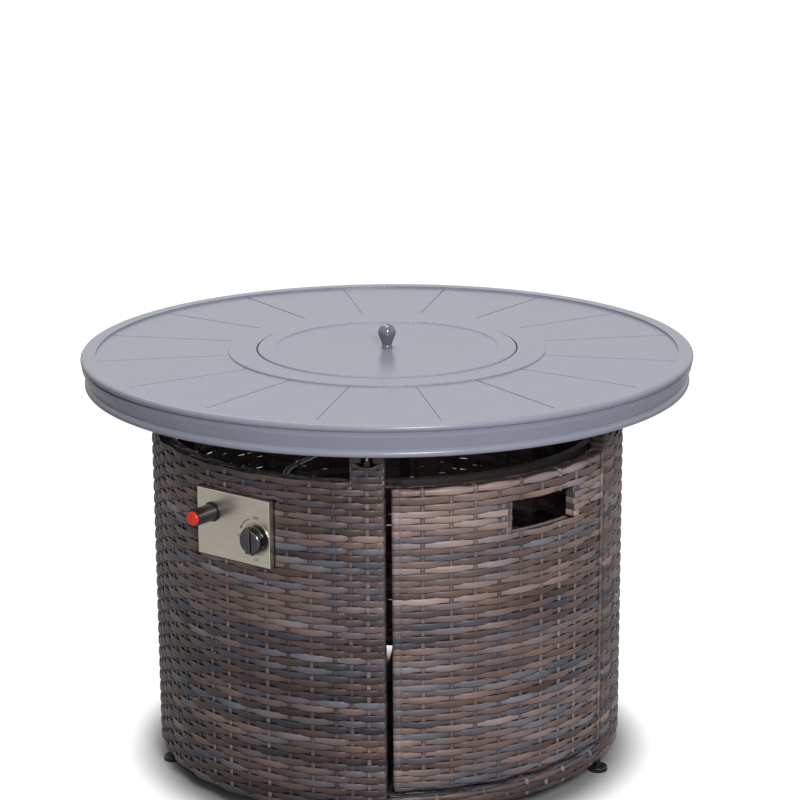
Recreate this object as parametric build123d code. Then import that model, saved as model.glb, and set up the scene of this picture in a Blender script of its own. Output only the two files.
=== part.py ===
from build123d import *
import math
import os

# Round gas fire pit table: an aluminium top with a lift-off burner lid,
# on a wicker-covered base with a hinged door.
# The origin is on the floor under the middle, +Z is up and the front faces -Y.
# Angles are in degrees from the front, growing towards +X. All lengths are millimetres.

# Tabletop
table_height = 630.0
table_radius = 457.0
rim_height = 46.0
rim_flange = 22.0
rim_wall = 3.0
bead_radius = 5.0
groove_depth = 5.5
band_inset = 9.5
lip_radius = 4.5
slat_thickness = 2.0
slat_overlap = 11.0
slat_grooves = 16
slat_groove_phase = 9.6
slat_groove_width = 2.4
slat_groove_depth = 1.0
surround_radius = 238.0
surround_thickness = 2.2
surround_opening = 196.0
surround_wall = 2.5
surround_depth = 14.0
ledge_width = 14.5

# Burner lid and its knob
lid_rise = 0.6
lid_gap = 2.0
lid_thickness = 1.5
lid_rim_width = 27.0
lid_step = 1.5
lid_dish = 1.0
knob_height = 36.5
knob_ball_radius = 13.3
knob_neck_radius = 7.4
knob_neck_height = 5.0
knob_foot_radius = 8.6
knob_foot_thickness = 1.2
lid_screw_radius = 3.0
lid_screw_length = 18.0

# Base
base_radius = 356.0
weave_thickness = 5.0
wrap_thickness = 4.0
wrap_width = 20.0
vent_height = 64.0
base_clearance = 28.0
bar = 20.0
post_count = 5
front_post_angle = -4.8
post_width = 40.0
post_wrap_width = 51.0
post_rise = 23.0
post_wrap_rise = 36.0
bolt_notch_width = 15.0
strut_width = 16.0
cross_bar_width = 40.0
cross_bar_thickness = 6.0
header_thickness = 12.0
header_gap = 6.7

# Tank tray
tray_radius = 165.0
tray_thickness = 2.0
tank_ring_radius = 108.0
tank_ring_wall = 3.0
tank_ring_height = 12.0
tray_screw_radius = 135.0

# Door
door_start = 0.51
door_end = 62.3
door_drop = 8.0
door_sill_gap = 5.4
door_bar = 16.0
hand_hole_start = 29.3
hand_hole_end = 48.4
hand_hole_drop = 151.5
hand_hole_height = 45.5
hand_hole_collar = 4.0
hand_hole_depth = 18.0
hinge_inset = 11.0
hinge_angle_inset = 1.69
hinge_pin_radius = 3.0
hinge_pin_clearance = 0.04
hinge_bush_wall = 1.0
hinge_bush_length = 14.0
hinge_pin_reach = 24.0
hinge_bracket_thickness = 3.0
hinge_bracket_width = 16.0
door_corner_radius = 4.0
catch_height = 30.0
catch_width = 14.0
catch_drop = 160.0
catch_bracket_thickness = 3.0
strike_thickness = 1.0

# Tabletop frame and its bolts
spoke_count = 10
spoke_width = 16.0
spoke_thickness = 12.0
inner_hoop_width = 12.0
spoke_margin = 17.0
bolt_radius = 4.0
bolt_offset = 3.5
bolt_seat_depth = 18.0
bolt_grip = 15.0
nut_flats = 13.0
nut_thickness = 6.5
screw_radius = 2.5
screw_length = 12.5
screw_head_radius = 4.5
screw_head_height = 2.2
table_screw_inset = 30.7

# Burner pan and burner
pan_depth = 63.0
pan_thickness = 1.5
pan_flange_gap = 0.6
pan_slope = 13.0
drain_count = 6
drain_radius = 4.0
drain_circle = 60.0
burner_radius = 120.0
burner_tube_radius = 8.0
burner_corner = 3.0
feed_tube_radius = 4.5
burner_lift = 14.0
burner_port_count = 24
burner_port_radius = 1.5
hub_radius = 16.0
nipple_radius = 10.5
nipple_wall = 2.5
nipple_above = 12.0
nipple_below = 26.0
locknut_flats = 32.0
locknut_thickness = 8.0
mixer_radius = 14.0
mixer_height = 26.0
mixer_floor = 4.0
mixer_window_height = 6.0
elbow_radius = 8.0
elbow_height = 13.0
spigot_radius = 3.0
spigot_length = 3.5
sensor_circle = 148.0
electrode_angle = -43.0
thermocouple_angle = -32.0
sensor_radius = 3.0
sensor_height = 34.0
grommet_radius = 7.0
grommet_lip = 2.0
guard_thickness = 1.2
guard_height = 40.0

# Lava rocks
rock_rings = ((45.0, 4, 14.0, 26.0), (84.0, 10, 17.0, 34.0), (148.0, 15, 14.5, 38.0))
rock_sides = 7

# Control plate and the controls on it
plate_angle = -37.6
plate_proud = 2.0
plate_half_width = 66.5
plate_height = 98.0
plate_drop = 193.5
plate_thickness = 1.2
plate_return = 10.0
plate_gap = 1.0
plate_bracket_forward = 2.3
plate_bracket_thickness = 1.5
plate_bracket_height = 106.0
plate_strut_offset = 14.25
plate_stud_radius = 2.0
plate_stud_inset = 10.0
plate_stud_nut_flats = 7.0
plate_stud_nut_thickness = 3.2
knob_offset = 42.0
gas_knob_drop = 203.0
gas_knob_radius = 20.0
gas_knob_length = 15.0
gas_knob_skirt = 4.0
gas_knob_grip_rise = 3.5
gas_knob_grip_width = 8.0
gas_knob_clearance = 1.5
gas_knob_travel = 4.0
bezel_width = 3.0
bezel_thickness = 1.2
spindle_radius = 3.0
spindle_clearance = 0.05
spindle_depth = 9.0
collar_radius = 4.6
collar_thickness = 2.0
seat_radius = 7.0
seat_thickness = 1.5
spring_wall = 1.6
bonnet_radius = 9.0
bonnet_length = 13.0
valve_size = 28.0
valve_length = 34.0
valve_flange_width = 38.0
valve_flange_thickness = 4.0
port_radius = 8.0
port_length = 8.0
inlet_radius = 7.9
inlet_length = 14.0
inlet_flats = 17.0
inlet_hex_thickness = 6.0
inlet_bore_radius = 3.0
tube_radius = 4.0
tube_bend_radius = 34.0
tube_nut_flats = 14.0
tube_nut_length = 12.0
igniter_offset = -38.0
igniter_drop = 177.0
igniter_radius = 12.3
igniter_length = 40.0
igniter_body_radius = 8.5
igniter_body_length = 56.0
igniter_flange_radius = 14.5
igniter_flange_thickness = 2.0
igniter_nut_flats = 26.0
igniter_nut_thickness = 5.0
igniter_bore_radius = 10.6
igniter_spring_length = 14.5
button_clearance = 0.3
button_proud = 4.5
button_travel = 5.0
button_thickness = 12.0
button_stem_radius = 3.0
button_stem_reach = 6.0
lead_radius = 1.5
lead_bend_radius = 22.0
lead_drop = 94.0
lead_joint_depth = 9.0
igniter_lead_run = 34.0
thermocouple_lead_run = 26.0
lead_end_radius = 6.0
lead_end_drop = 8.0

# Levelling feet
foot_pad_radius = 15.0
foot_pad_thickness = 7.0
foot_stem_radius = 4.0
foot_engagement = 30.0
foot_travel = 12.0

# Clearances
wrap_gap = 0.3
thread_clearance = 0.05
hole_clearance = 0.3
seat_gap = 0.3
side_gap = 1.0

# Levels and radii worked out from the driving dimensions
top = table_height
rim_bottom = top - rim_height
panel_top = rim_bottom - vent_height
panel_bottom = base_clearance
weave_inner = base_radius - weave_thickness
frame_outer = weave_inner - wrap_gap
frame_inner = frame_outer - bar
frame_middle = frame_outer - bar / 2
wrap_inner = frame_inner - wrap_gap - wrap_thickness
table_screw_radius = frame_inner - table_screw_inset
spoke_end = table_radius - spoke_margin
hoop_bottom = panel_bottom + wrap_thickness + wrap_gap
hoop_top = panel_top - wrap_thickness - wrap_gap
post_top = panel_top + post_rise
post_wrap_top = panel_top + post_wrap_rise
slat_top = top - rim_wall
slat_bottom = slat_top - slat_thickness
surround_top = slat_top + surround_thickness
ledge_top = surround_top - surround_depth
ledge_bottom = ledge_top - surround_wall
ledge_inner = surround_opening + surround_wall - ledge_width
pan_flange_top = ledge_top + pan_thickness
pan_floor = pan_flange_top - pan_depth
lid_top = top + lid_rise
lid_radius = surround_opening - lid_gap
lid_skirt_bottom = pan_flange_top + seat_gap
lid_well = lid_top - lid_step - lid_dish
door_top = panel_top - door_drop
sill_top = hoop_bottom + bar + wrap_gap + wrap_thickness
door_bottom = sill_top + door_sill_gap
door_inner = base_radius - weave_thickness - 2 * wrap_gap - door_bar - wrap_thickness
door_frame_outer = frame_outer
door_frame_inner = door_frame_outer - door_bar
hinge_radius = base_radius - hinge_inset
hinge_angle = door_start + hinge_angle_inset
plate_level = top - plate_drop
foot_stem_length = foot_engagement + foot_travel
knob_level = top - gas_knob_drop
igniter_level = top - igniter_drop
plate_distance = base_radius + plate_proud
plate_back = plate_distance - plate_thickness
strut_inner = frame_outer - strut_width
plate_bracket_distance = strut_inner * math.cos(math.radians(plate_strut_offset)) + plate_bracket_forward
bracket_back = plate_bracket_distance - plate_bracket_thickness
post_angles = [front_post_angle + 360.0 / post_count * k for k in range(post_count)]
latch_post_angle = post_angles[1]
lead_level = top - lead_drop


def degrees_across(width, radius):
    """The angle that a width takes up on a circle of that radius."""
    return math.degrees(width / radius)


def polar(radius, angle, level=0.0):
    """The point at that radius, angle from the front and height."""
    a = math.radians(angle)
    return Vector(radius * math.sin(a), -radius * math.cos(a), level)


def facing(angle):
    """Turns a shape made at the front so that it faces that angle."""
    return Rot(0, 0, angle)


def block(angle, across, distance, levels):
    """A box at an angle: its reach across, its distances from the axis and its levels are pairs."""
    size = (across[1] - across[0], distance[1] - distance[0], levels[1] - levels[0])
    centre = (sum(across) / 2, -sum(distance) / 2, sum(levels) / 2)
    return facing(angle) * Pos(*centre) * Box(*size)


def arc_bar(radii, levels, angles=(0.0, 360.0)):
    """A bar of rectangular section bent round the axis between two angles."""
    centre = Pos((radii[0] + radii[1]) / 2, (levels[0] + levels[1]) / 2)
    section = Plane.XZ * centre * Rectangle(radii[1] - radii[0], levels[1] - levels[0])
    return facing(angles[0] - 90) * revolve(section, Axis.Z, angles[1] - angles[0])


def turned(points, angles=(0.0, 360.0)):
    """A solid of revolution from straight-sided section points, each a radius and a level."""
    section = Plane.XZ * make_face(Polyline(*points, close=True))
    return facing(angles[0] - 90) * revolve(section, Axis.Z, angles[1] - angles[0])


def upright(radius, place, levels):
    """A vertical cylinder at a place between two levels."""
    return Pos(place.X, place.Y, sum(levels) / 2) * Cylinder(radius, levels[1] - levels[0])


def outward(shape_radius, angle, across, level, distance):
    """A cylinder that points away from the axis at an angle, between two distances from it."""
    place = Pos(across, -sum(distance) / 2, level)
    return facing(angle) * place * Rot(90, 0, 0) * Cylinder(shape_radius, distance[1] - distance[0])


def outward_hexagon(flats, angle, across, level, distance):
    """A hexagonal prism that points away from the axis at an angle."""
    prism = extrude(RegularPolygon(flats / 2, 6, major_radius=False), distance[1] - distance[0])
    return facing(angle) * Pos(across, -distance[0], level) * Rot(90, 0, 0) * prism


def upright_hexagon(flats, place, levels):
    """A vertical hexagonal prism at a place between two levels."""
    prism = extrude(RegularPolygon(flats / 2, 6, major_radius=False), levels[1] - levels[0])
    return Pos(place.X, place.Y, levels[0]) * prism


def group(solids):
    """Separate solids that share one node."""
    return Compound([solid for shape in solids for solid in shape.solids()])


def plate_point(across, distance, level):
    """A point given in the control plate's own directions."""
    a = math.radians(plate_angle)
    x = distance * math.sin(a) + across * math.cos(a)
    y = -distance * math.cos(a) + across * math.sin(a)
    return Vector(x, y, level)


def front_edges(edges, across, level, count):
    """The edges nearest to someone who faces the control plate at that place."""
    return edges.sort_by_distance(plate_point(across, 2000, level))[:count]


def make_tabletop_rim():
    """The moulded ring: bead, groove, slanting band and lower lip outside, a flange over the sheet inside."""
    outer = table_radius
    groove_level = top - 2 * bead_radius - 1.5
    shoulder_level = groove_level - 2.5
    lip_level = rim_bottom + 2 * lip_radius
    band_bottom = outer - band_inset
    bead_centre = outer - bead_radius
    section = Polyline((outer - rim_flange, slat_top), (outer - rim_flange, top), (bead_centre, top))
    section += ThreePointArc(
        (bead_centre, top), (outer, top - bead_radius), (bead_centre, top - 2 * bead_radius)
    )
    section += Polyline(
        (bead_centre, top - 2 * bead_radius),
        (outer - groove_depth, groove_level),
        (outer - 1.5, shoulder_level),
        (outer - 2.0, shoulder_level - 3.0),
        (band_bottom, lip_level + 1.5),
        (band_bottom + 2.0, lip_level),
    )
    lip_outer = band_bottom + lip_radius
    section += ThreePointArc(
        (band_bottom + 2.0, lip_level), (lip_outer, rim_bottom + lip_radius), (band_bottom + 2.0, rim_bottom)
    )
    inner_band = band_bottom - rim_wall
    section += Polyline(
        (band_bottom + 2.0, rim_bottom),
        (inner_band - 8.0, rim_bottom),
        (inner_band - 8.0, rim_bottom + 2.0),
        (inner_band, rim_bottom + 2.0),
        (inner_band, lip_level + 1.5),
        (outer - groove_depth - rim_wall, shoulder_level),
        (outer - groove_depth - rim_wall, slat_top),
        (outer - rim_flange, slat_top),
    )
    return revolve(Plane.XZ * make_face(section), Axis.Z)


def make_tabletop_sheet():
    """The pressed sheet with its radial grooves, and blind holes below for the screws."""
    outer = table_radius - rim_flange + slat_overlap
    inner = surround_opening + surround_wall + hole_clearance
    sheet = arc_bar((inner, outer), (slat_bottom, slat_top))
    length = table_radius - rim_flange - surround_radius
    for k in range(slat_grooves):
        angle = slat_groove_phase + 360.0 / slat_grooves * k
        half = slat_groove_width / 2
        reach = (surround_radius, surround_radius + length)
        sheet -= block(angle, (-half, half), reach, (slat_top - slat_groove_depth, slat_top + 1))
    for angle in spoke_angles():
        sheet -= upright(
            screw_radius + thread_clearance,
            polar(table_screw_radius, angle),
            (slat_bottom - 1, slat_bottom + 1.2),
        )
    return sheet


def make_burner_surround():
    """The raised ring round the burner opening, with the ledge that carries the pan."""
    wall = surround_opening + surround_wall
    return turned([
        (surround_opening, surround_top), (surround_radius - 1.0, surround_top), (
            surround_radius, surround_top - 1.0
        ),
        (surround_radius, slat_top), (wall, slat_top), (wall, ledge_bottom),
        (ledge_inner, ledge_bottom), (ledge_inner, ledge_top), (surround_opening, ledge_top),
    ])


def spoke_angles():
    """The angles of the tabletop frame's spokes: one over each post and one between."""
    return [front_post_angle + 360.0 / spoke_count * k for k in range(spoke_count)]


def bolt_place(angle):
    """Where a post's bolt stands."""
    return polar(frame_middle + bolt_offset, angle)


def make_tabletop_frame():
    """Two hoops joined by spokes under the sheet, with seats for the bolts and holes for the screws."""
    inner = surround_opening + surround_wall + 5 * side_gap
    frame = arc_bar((frame_inner, frame_outer), (slat_bottom - bar, slat_bottom))
    frame += arc_bar((inner, inner + inner_hoop_width), (slat_bottom - spoke_thickness, slat_bottom))
    for angle in spoke_angles():
        half = spoke_width / 2
        frame += block(
            angle,
            (-half, half),
            (inner + inner_hoop_width / 2, spoke_end),
            (slat_bottom - spoke_thickness, slat_bottom),
        )
    for angle in post_angles:
        levels = (slat_bottom - bar - 1, slat_bottom - bar + bolt_grip)
        frame -= upright(bolt_radius + thread_clearance, bolt_place(angle), levels)
    for angle in spoke_angles():
        hole = polar(table_screw_radius, angle)
        frame -= upright(screw_radius + thread_clearance, hole, (slat_bottom - bar, slat_bottom + 1))
    return frame


def make_post_bolts():
    """Bright studs that carry the tabletop above the posts."""
    levels = (post_top - bolt_seat_depth, slat_bottom - bar + bolt_grip - 1.0)
    return group([upright(bolt_radius, bolt_place(angle), levels) for angle in post_angles])


def make_post_bolt_nuts():
    """A nut on each post and one under the tabletop frame."""
    nuts = []
    for angle in post_angles:
        place = bolt_place(angle)
        bore = upright(bolt_radius + thread_clearance, place, (post_top - 1, slat_bottom))
        for low in (post_top, slat_bottom - bar - nut_thickness):
            nuts.append(upright_hexagon(nut_flats, place, (low, low + nut_thickness)) - bore)
    return group(nuts)


def screw(place, seat_level, up):
    """One of the alike screws, seated at a level and pointing up or down."""
    sign = 1 if up else -1
    shank = sorted((seat_level, seat_level + sign * screw_length))
    head = sorted((seat_level, seat_level - sign * screw_head_height))
    return upright(screw_radius, place, shank) + upright(screw_head_radius, place, head)


def plate_strut_angles():
    """The two struts behind the control plate."""
    return (plate_angle - plate_strut_offset, plate_angle + plate_strut_offset)


def bracket_screw_levels():
    """The levels of the screws that hold the control bracket to its struts."""
    reach = plate_bracket_height / 2 - 14.0
    return (plate_level - reach, plate_level + reach)


def make_frame_screws():
    """All the alike screws: tabletop, tank tray and control bracket."""
    screws = [
        screw(polar(table_screw_radius, a), slat_bottom - spoke_thickness, True) for a in spoke_angles()
    ]
    tray_top = cross_bar_top() + tray_thickness
    screws += [screw(hole, tray_top, False) for hole in tray_screw_places()]
    seat = strut_inner - plate_bracket_thickness
    for angle in plate_strut_angles():
        for level in bracket_screw_levels():
            shank = outward(screw_radius, angle, 0, level, (seat, seat + screw_length))
            screws.append(
                shank + outward(screw_head_radius, angle, 0, level, (seat - screw_head_height, seat))
            )
    return group(screws)


def cross_bar_top():
    """The level of the tray's seat."""
    return base_clearance + 2.0 + cross_bar_thickness


def strut_angles():
    """Plain struts in the middle of each bay that has no door, and the two behind the control plate."""
    bay = 360.0 / post_count
    return [post_angles[k] + bay / 2 for k in range(1, post_count - 1)] + list(plate_strut_angles())


def bottom_hoop():
    """The bottom hoop."""
    return arc_bar((frame_inner, frame_outer), (hoop_bottom, hoop_bottom + bar))


def top_hoop():
    """The top hoop, open over the door."""
    span = (latch_post_angle, 360.0 + front_post_angle)
    return arc_bar((frame_inner, frame_outer), (hoop_top - bar, hoop_top), span)


def cross_bars(margin):
    """Two flat bars that cross under the tank tray, grown by a margin all round."""
    half = cross_bar_width / 2 + margin
    reach = frame_middle + margin
    levels = (cross_bar_top() - cross_bar_thickness - margin, cross_bar_top() + margin)
    first, second = (
        block(front_post_angle + turn, (-half, half), (-reach, reach), levels) for turn in (0, 90)
    )
    return first + second


def tray_screw_places():
    """Where the tank tray is screwed to the cross bars."""
    return [polar(tray_screw_radius, front_post_angle + 90.0 * k) for k in range(4)]


def header():
    """The bar behind the top of the door, with a lug at each end post."""
    outer = frame_inner - header_gap
    levels = (hoop_top - header_thickness, hoop_top)
    span = (front_post_angle - 1.0, latch_post_angle + 1.0)
    bar_solid = arc_bar((outer - header_thickness, outer), levels, span)
    for angle in (front_post_angle, latch_post_angle):
        half = header_thickness / 2
        bar_solid += block(angle, (-half, half), (outer - header_thickness / 2, frame_inner + 2), levels)
    return bar_solid


def make_base_frame():
    """The welded frame: hoops, posts, struts, header and cross bars, drilled for feet, bolts and screws."""
    frame = bottom_hoop() + top_hoop() + cross_bars(0) + header()
    half = post_width / 2
    for angle in post_angles:
        frame += block(angle, (-half, half), (frame_inner, frame_outer), (hoop_bottom, post_top))
    for angle in strut_angles():
        half_strut = strut_width / 2
        frame += block(
            angle,
            (-half_strut, half_strut),
            (strut_inner, frame_outer - 0.5),
            (hoop_bottom + bar / 2, hoop_top - bar / 2),
        )
    for angle in post_angles:
        seat = (post_top - bolt_seat_depth, post_top + 1)
        frame -= upright(bolt_radius + thread_clearance, bolt_place(angle), seat)
        socket = (base_clearance, foot_pad_thickness + foot_stem_length + 2.0)
        frame -= upright(foot_stem_radius + thread_clearance, polar(frame_middle, angle), socket)
    for hole in tray_screw_places():
        frame -= upright(screw_radius + thread_clearance, hole, (base_clearance, cross_bar_top() + 1))
    for angle in plate_strut_angles():
        for level in bracket_screw_levels():
            depth = (strut_inner - 1, strut_inner - plate_bracket_thickness + screw_length + 1)
            frame -= outward(screw_radius + thread_clearance, angle, 0, level, depth)
    return frame


def make_tank_tray():
    """The round plate that the gas cylinder stands on, with its retaining ring."""
    floor = (cross_bar_top(), cross_bar_top() + tray_thickness)
    tray = Pos(0, 0, sum(floor) / 2) * Cylinder(tray_radius, tray_thickness)
    ring = (tank_ring_radius, tank_ring_radius + tank_ring_wall)
    tray += arc_bar(ring, (floor[1], floor[1] + tank_ring_height))
    for hole in tray_screw_places():
        tray -= upright(screw_radius + hole_clearance, hole, (floor[0] - 1, floor[1] + 1))
    return tray


def make_levelling_foot(angle):
    """A levelling foot: a glide moulded on its threaded stem."""
    place = polar(frame_middle, angle)
    pad = upright(foot_pad_radius, place, (0, foot_pad_thickness))
    pad = fillet(pad.edges().group_by(Axis.Z)[-1], 2.0)
    return pad + upright(foot_stem_radius, place, (foot_pad_thickness, foot_pad_thickness + foot_stem_length))


def wrapped_wall(angles, low, high, wrap_low, wrap_high):
    """A wicker wall between two angles, wrapped round the hoop at its top or bottom where it says."""
    lip = wrap_thickness
    wall = arc_bar((weave_inner, base_radius), (low, high), angles)
    edges = []
    if wrap_low:
        edges.append((low, 1))
    if wrap_high:
        edges.append((high, -1))
    for level, sign in edges:
        cap = sorted((level, level + sign * lip))
        wall += arc_bar((wrap_inner, base_radius), cap, angles)
        back = sorted((level, level + sign * (lip + 2 * wrap_gap + bar + lip)))
        wall += arc_bar((wrap_inner, wrap_inner + lip), back, angles)
        inside = sorted(
            (level + sign * (lip + 2 * wrap_gap + bar), level + sign * (2 * lip + 2 * wrap_gap + bar))
        )
        wall += arc_bar((wrap_inner, base_radius), inside, angles)
    return wall


def post_clearance(angle):
    """The room that a wrapped post takes out of the walls beside it."""
    half = post_wrap_width / 2 + wrap_gap
    return block(angle, (-half, half), (wrap_inner - 2, base_radius + 5), (0, table_height))


def strut_room(angle):
    """The room for a strut inside a wrapped wall."""
    half = strut_width / 2 + wrap_gap
    return block(angle, (-half, half), (strut_inner - wrap_gap, weave_inner), (hoop_bottom, hoop_top))


def make_wicker_panel(first_post):
    """The fixed wicker wall of one bay, from one post to the next."""
    start = post_angles[first_post]
    end = start + 360.0 / post_count
    panel = wrapped_wall((start, end), panel_bottom, panel_top, True, True)
    panel -= post_clearance(start) + post_clearance(end)
    for angle in strut_angles():
        middle = angle % 360.0
        if (start % 360.0) < middle < (start % 360.0) + 360.0 / post_count:
            panel -= strut_room(angle)
    return panel - cross_bars(wrap_gap)


def plate_window():
    """The hole in the wicker that the control plate sits in."""
    half = plate_half_width + plate_gap
    half_height = plate_height / 2 + plate_gap
    reach = (wrap_inner - 10, base_radius + 20)
    return block(plate_angle, (-half, half), reach, (plate_level - half_height, plate_level + half_height))


def make_wicker_sill():
    """The wicker wrapped round the bottom hoop under the door."""
    span = (front_post_angle, latch_post_angle)
    sill = wrapped_wall(span, panel_bottom, sill_top, True, False)
    return sill - post_clearance(span[0]) - post_clearance(span[1]) - cross_bars(wrap_gap)


def make_wicker_posts():
    """The wicker tubes wrapped round the five posts, notched at the top for the bolts."""
    posts = []
    half = post_wrap_width / 2
    core = post_width / 2 + wrap_gap
    for angle in post_angles:
        wrap = block(angle, (-half, half), (wrap_inner, base_radius + 5), (panel_bottom, post_wrap_top))
        wrap &= Pos(0, 0, table_height / 2) * Cylinder(base_radius, table_height)
        wrap -= block(
            angle, (-core, core), (frame_inner - wrap_gap, weave_inner), (panel_bottom - 1, post_wrap_top + 1)
        )
        for low in (hoop_bottom, hoop_top - bar):
            levels = (low - wrap_gap, low + bar + wrap_gap)
            wrap -= arc_bar((frame_inner - wrap_gap, weave_inner), levels)
        notch = bolt_notch_width / 2
        wrap -= block(angle, (-notch, notch), (frame_middle, base_radius + 6), (post_top, post_wrap_top + 1))
        posts.append(wrap - cross_bars(wrap_gap))
    header_half = header_thickness / 2 + wrap_gap
    header_levels = (hoop_top - header_thickness - wrap_gap, hoop_top + wrap_gap)
    bracket_half = hinge_bracket_width / 2 + wrap_gap
    for index in (0, 1):
        room = block(
            post_angles[index], (-header_half, header_half), (wrap_inner - 5, frame_inner), header_levels
        )
        posts[index] -= room
    for level in hinge_bracket_levels():
        levels = (level - wrap_gap, level + hinge_bracket_thickness + wrap_gap)
        reach = (frame_middle - bracket_half, frame_middle + bracket_half)
        posts[0] -= block(front_post_angle, (0, post_wrap_width), reach, levels)
    catch_levels = (catch_level() - catch_height - wrap_gap, catch_level() + catch_height + wrap_gap)
    ear = catch_ear_span()
    ear_room = (ear[0] - wrap_gap, ear[1] + wrap_gap)
    posts[1] -= block(latch_post_angle, ear_room, (wrap_inner - 20, frame_inner), catch_levels)
    return group(posts)


def hinge_bracket_levels():
    """The undersides of the two pivot brackets, below and above the door."""
    return (sill_top + wrap_gap, door_top + 2 * wrap_gap)


def hinge_place():
    """Where the door's pivot axis stands."""
    return polar(hinge_radius, hinge_angle)


def make_hinge_brackets():
    """Two flat brackets welded to the front post that hold the pivot pins."""
    brackets = []
    turn = math.radians(hinge_angle - front_post_angle)
    across = hinge_radius * math.sin(turn)
    distance = hinge_radius * math.cos(turn)
    half = hinge_bracket_width / 2
    for level in hinge_bracket_levels():
        levels = (level, level + hinge_bracket_thickness)
        arm = block(
            front_post_angle, (post_width / 2, across), (frame_middle - half, frame_middle + half), levels
        )
        arm += upright(
            half, polar(distance, front_post_angle) + facing_offset(front_post_angle, across), levels
        )
        arm -= upright(hinge_pin_radius, hinge_place(), (level - 1, level + hinge_bracket_thickness + 1))
        brackets.append(arm)
    return group(brackets)


def facing_offset(angle, across):
    """The step sideways by a length at an angle."""
    a = math.radians(angle)
    return Vector(across * math.cos(a), across * math.sin(a), 0)


def make_hinge_pins():
    """The two pivot pins, fixed in the brackets, and the washer that the door's stile stands on."""
    low, high = hinge_bracket_levels()
    place = hinge_place()
    bottom = upright(hinge_pin_radius, place, (low, door_bottom + wrap_thickness + hinge_pin_reach))
    head = (high + hinge_bracket_thickness, high + hinge_bracket_thickness + 2.0)
    upper = upright(
        hinge_pin_radius, place, (door_top - wrap_thickness - hinge_pin_reach, high + hinge_bracket_thickness)
    )
    upper += upright(2 * hinge_pin_radius, place, head)
    washer_levels = (low + hinge_bracket_thickness, door_bottom + wrap_thickness)
    bore = upright(hinge_pin_radius + hinge_pin_clearance, place, (low - 1, washer_levels[1] + 1))
    washer = upright(hinge_pin_radius + 2.4, place, washer_levels) - bore
    return group([bottom, upper, washer])


def catch_level():
    """The level of the magnet catch's middle."""
    return door_top - catch_drop / 2


def catch_seat():
    """How far the catch bracket's outer face is from the axis."""
    return door_inner - wrap_thickness - 5.0


def catch_ear_span():
    """The reach across of the catch bracket's ear, which is welded to the latch post."""
    return (-post_width / 2, -post_width / 2 + 5.0)


def make_catch_bracket():
    """The flat bracket beside the latch post that carries the magnet."""
    levels = (catch_level() - catch_height, catch_level() + catch_height)
    back = catch_seat() - catch_bracket_thickness
    ear = catch_ear_span()
    plate = block(latch_post_angle, (catch_span()[0] - 2.0, ear[1]), (back, catch_seat()), levels)
    return plate + block(latch_post_angle, ear, (back, frame_inner), levels)


def catch_span():
    """The magnet's reach across, seen from the latch post."""
    right = -post_width / 2 - 14.0
    return (right - catch_width, right)


def make_catch_magnet():
    """The magnet catch, its face following the door."""
    seat = catch_seat()
    levels = (catch_level() - catch_height / 2, catch_level() + catch_height / 2)
    body = block(latch_post_angle, catch_span(), (seat, base_radius), levels)
    face = door_frame_inner - strike_thickness - seat_gap
    return body & (Pos(0, 0, table_height / 2) * Cylinder(face, table_height))


def strike_span():
    """The angles that the strike plate covers on the door."""
    middle = latch_post_angle + math.degrees(sum(catch_span()) / 2 / door_frame_inner)
    half = degrees_across(catch_width / 2 + 1.0, door_frame_inner)
    return (middle - half, middle + half)


def make_door_strike():
    """The steel plate on the door that the magnet holds."""
    radii = (door_frame_inner - strike_thickness, door_frame_inner - thread_clearance)
    levels = (catch_level() - catch_height / 2 - 3.0, catch_level() + catch_height / 2 + 3.0)
    return arc_bar(radii, levels, strike_span())


def door_levels():
    """The door frame's bottom and top."""
    return (door_bottom + wrap_thickness + wrap_gap, door_top - wrap_thickness - wrap_gap)


def door_frame_angles():
    """The door frame's two side angles, inside the wicker."""
    margin = degrees_across(wrap_thickness + wrap_gap, door_frame_inner)
    return (door_start + margin, door_end - margin)


def make_door_frame():
    """The door's curved frame with a bushed bore at each end of its hinge stile."""
    low, high = door_levels()
    left, right = door_frame_angles()
    stile = degrees_across(door_bar, door_frame_inner + door_bar / 2)
    radii = (door_frame_inner, door_frame_outer)
    frame = arc_bar(radii, (low, high), (left, left + stile)) + arc_bar(
        radii, (low, high), (right - stile, right)
    )
    frame += arc_bar(radii, (low, low + door_bar), (left, right))
    frame += arc_bar(radii, (high - door_bar, high), (left, right))
    bush = hinge_pin_radius + hinge_pin_clearance + hinge_bush_wall
    depth = hinge_pin_reach + 3.0
    for ends in ((low - 1, low + depth), (high - depth, high + 1)):
        frame -= upright(bush + 0.02, hinge_place(), ends)
    return frame


def make_door_bushes():
    """The two bushes that the pivot pins turn in."""
    low, high = door_levels()
    outer = hinge_pin_radius + hinge_pin_clearance + hinge_bush_wall
    bushes = []
    for start in (low + 1.0, high - 1.0 - hinge_bush_length):
        levels = (start, start + hinge_bush_length)
        bore = upright(hinge_pin_radius + hinge_pin_clearance, hinge_place(), (start - 1, levels[1] + 1))
        bushes.append(upright(outer, hinge_place(), levels) - bore)
    return group(bushes)


def hand_hole(margin):
    """The hand hole through the door, grown by a margin all round."""
    angle = degrees_across(margin, base_radius)
    levels = (top - hand_hole_drop - hand_hole_height - margin, top - hand_hole_drop + margin)
    span = (hand_hole_start - angle, hand_hole_end + angle)
    return arc_bar((door_inner - 1, base_radius + 1), levels, span)


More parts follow.
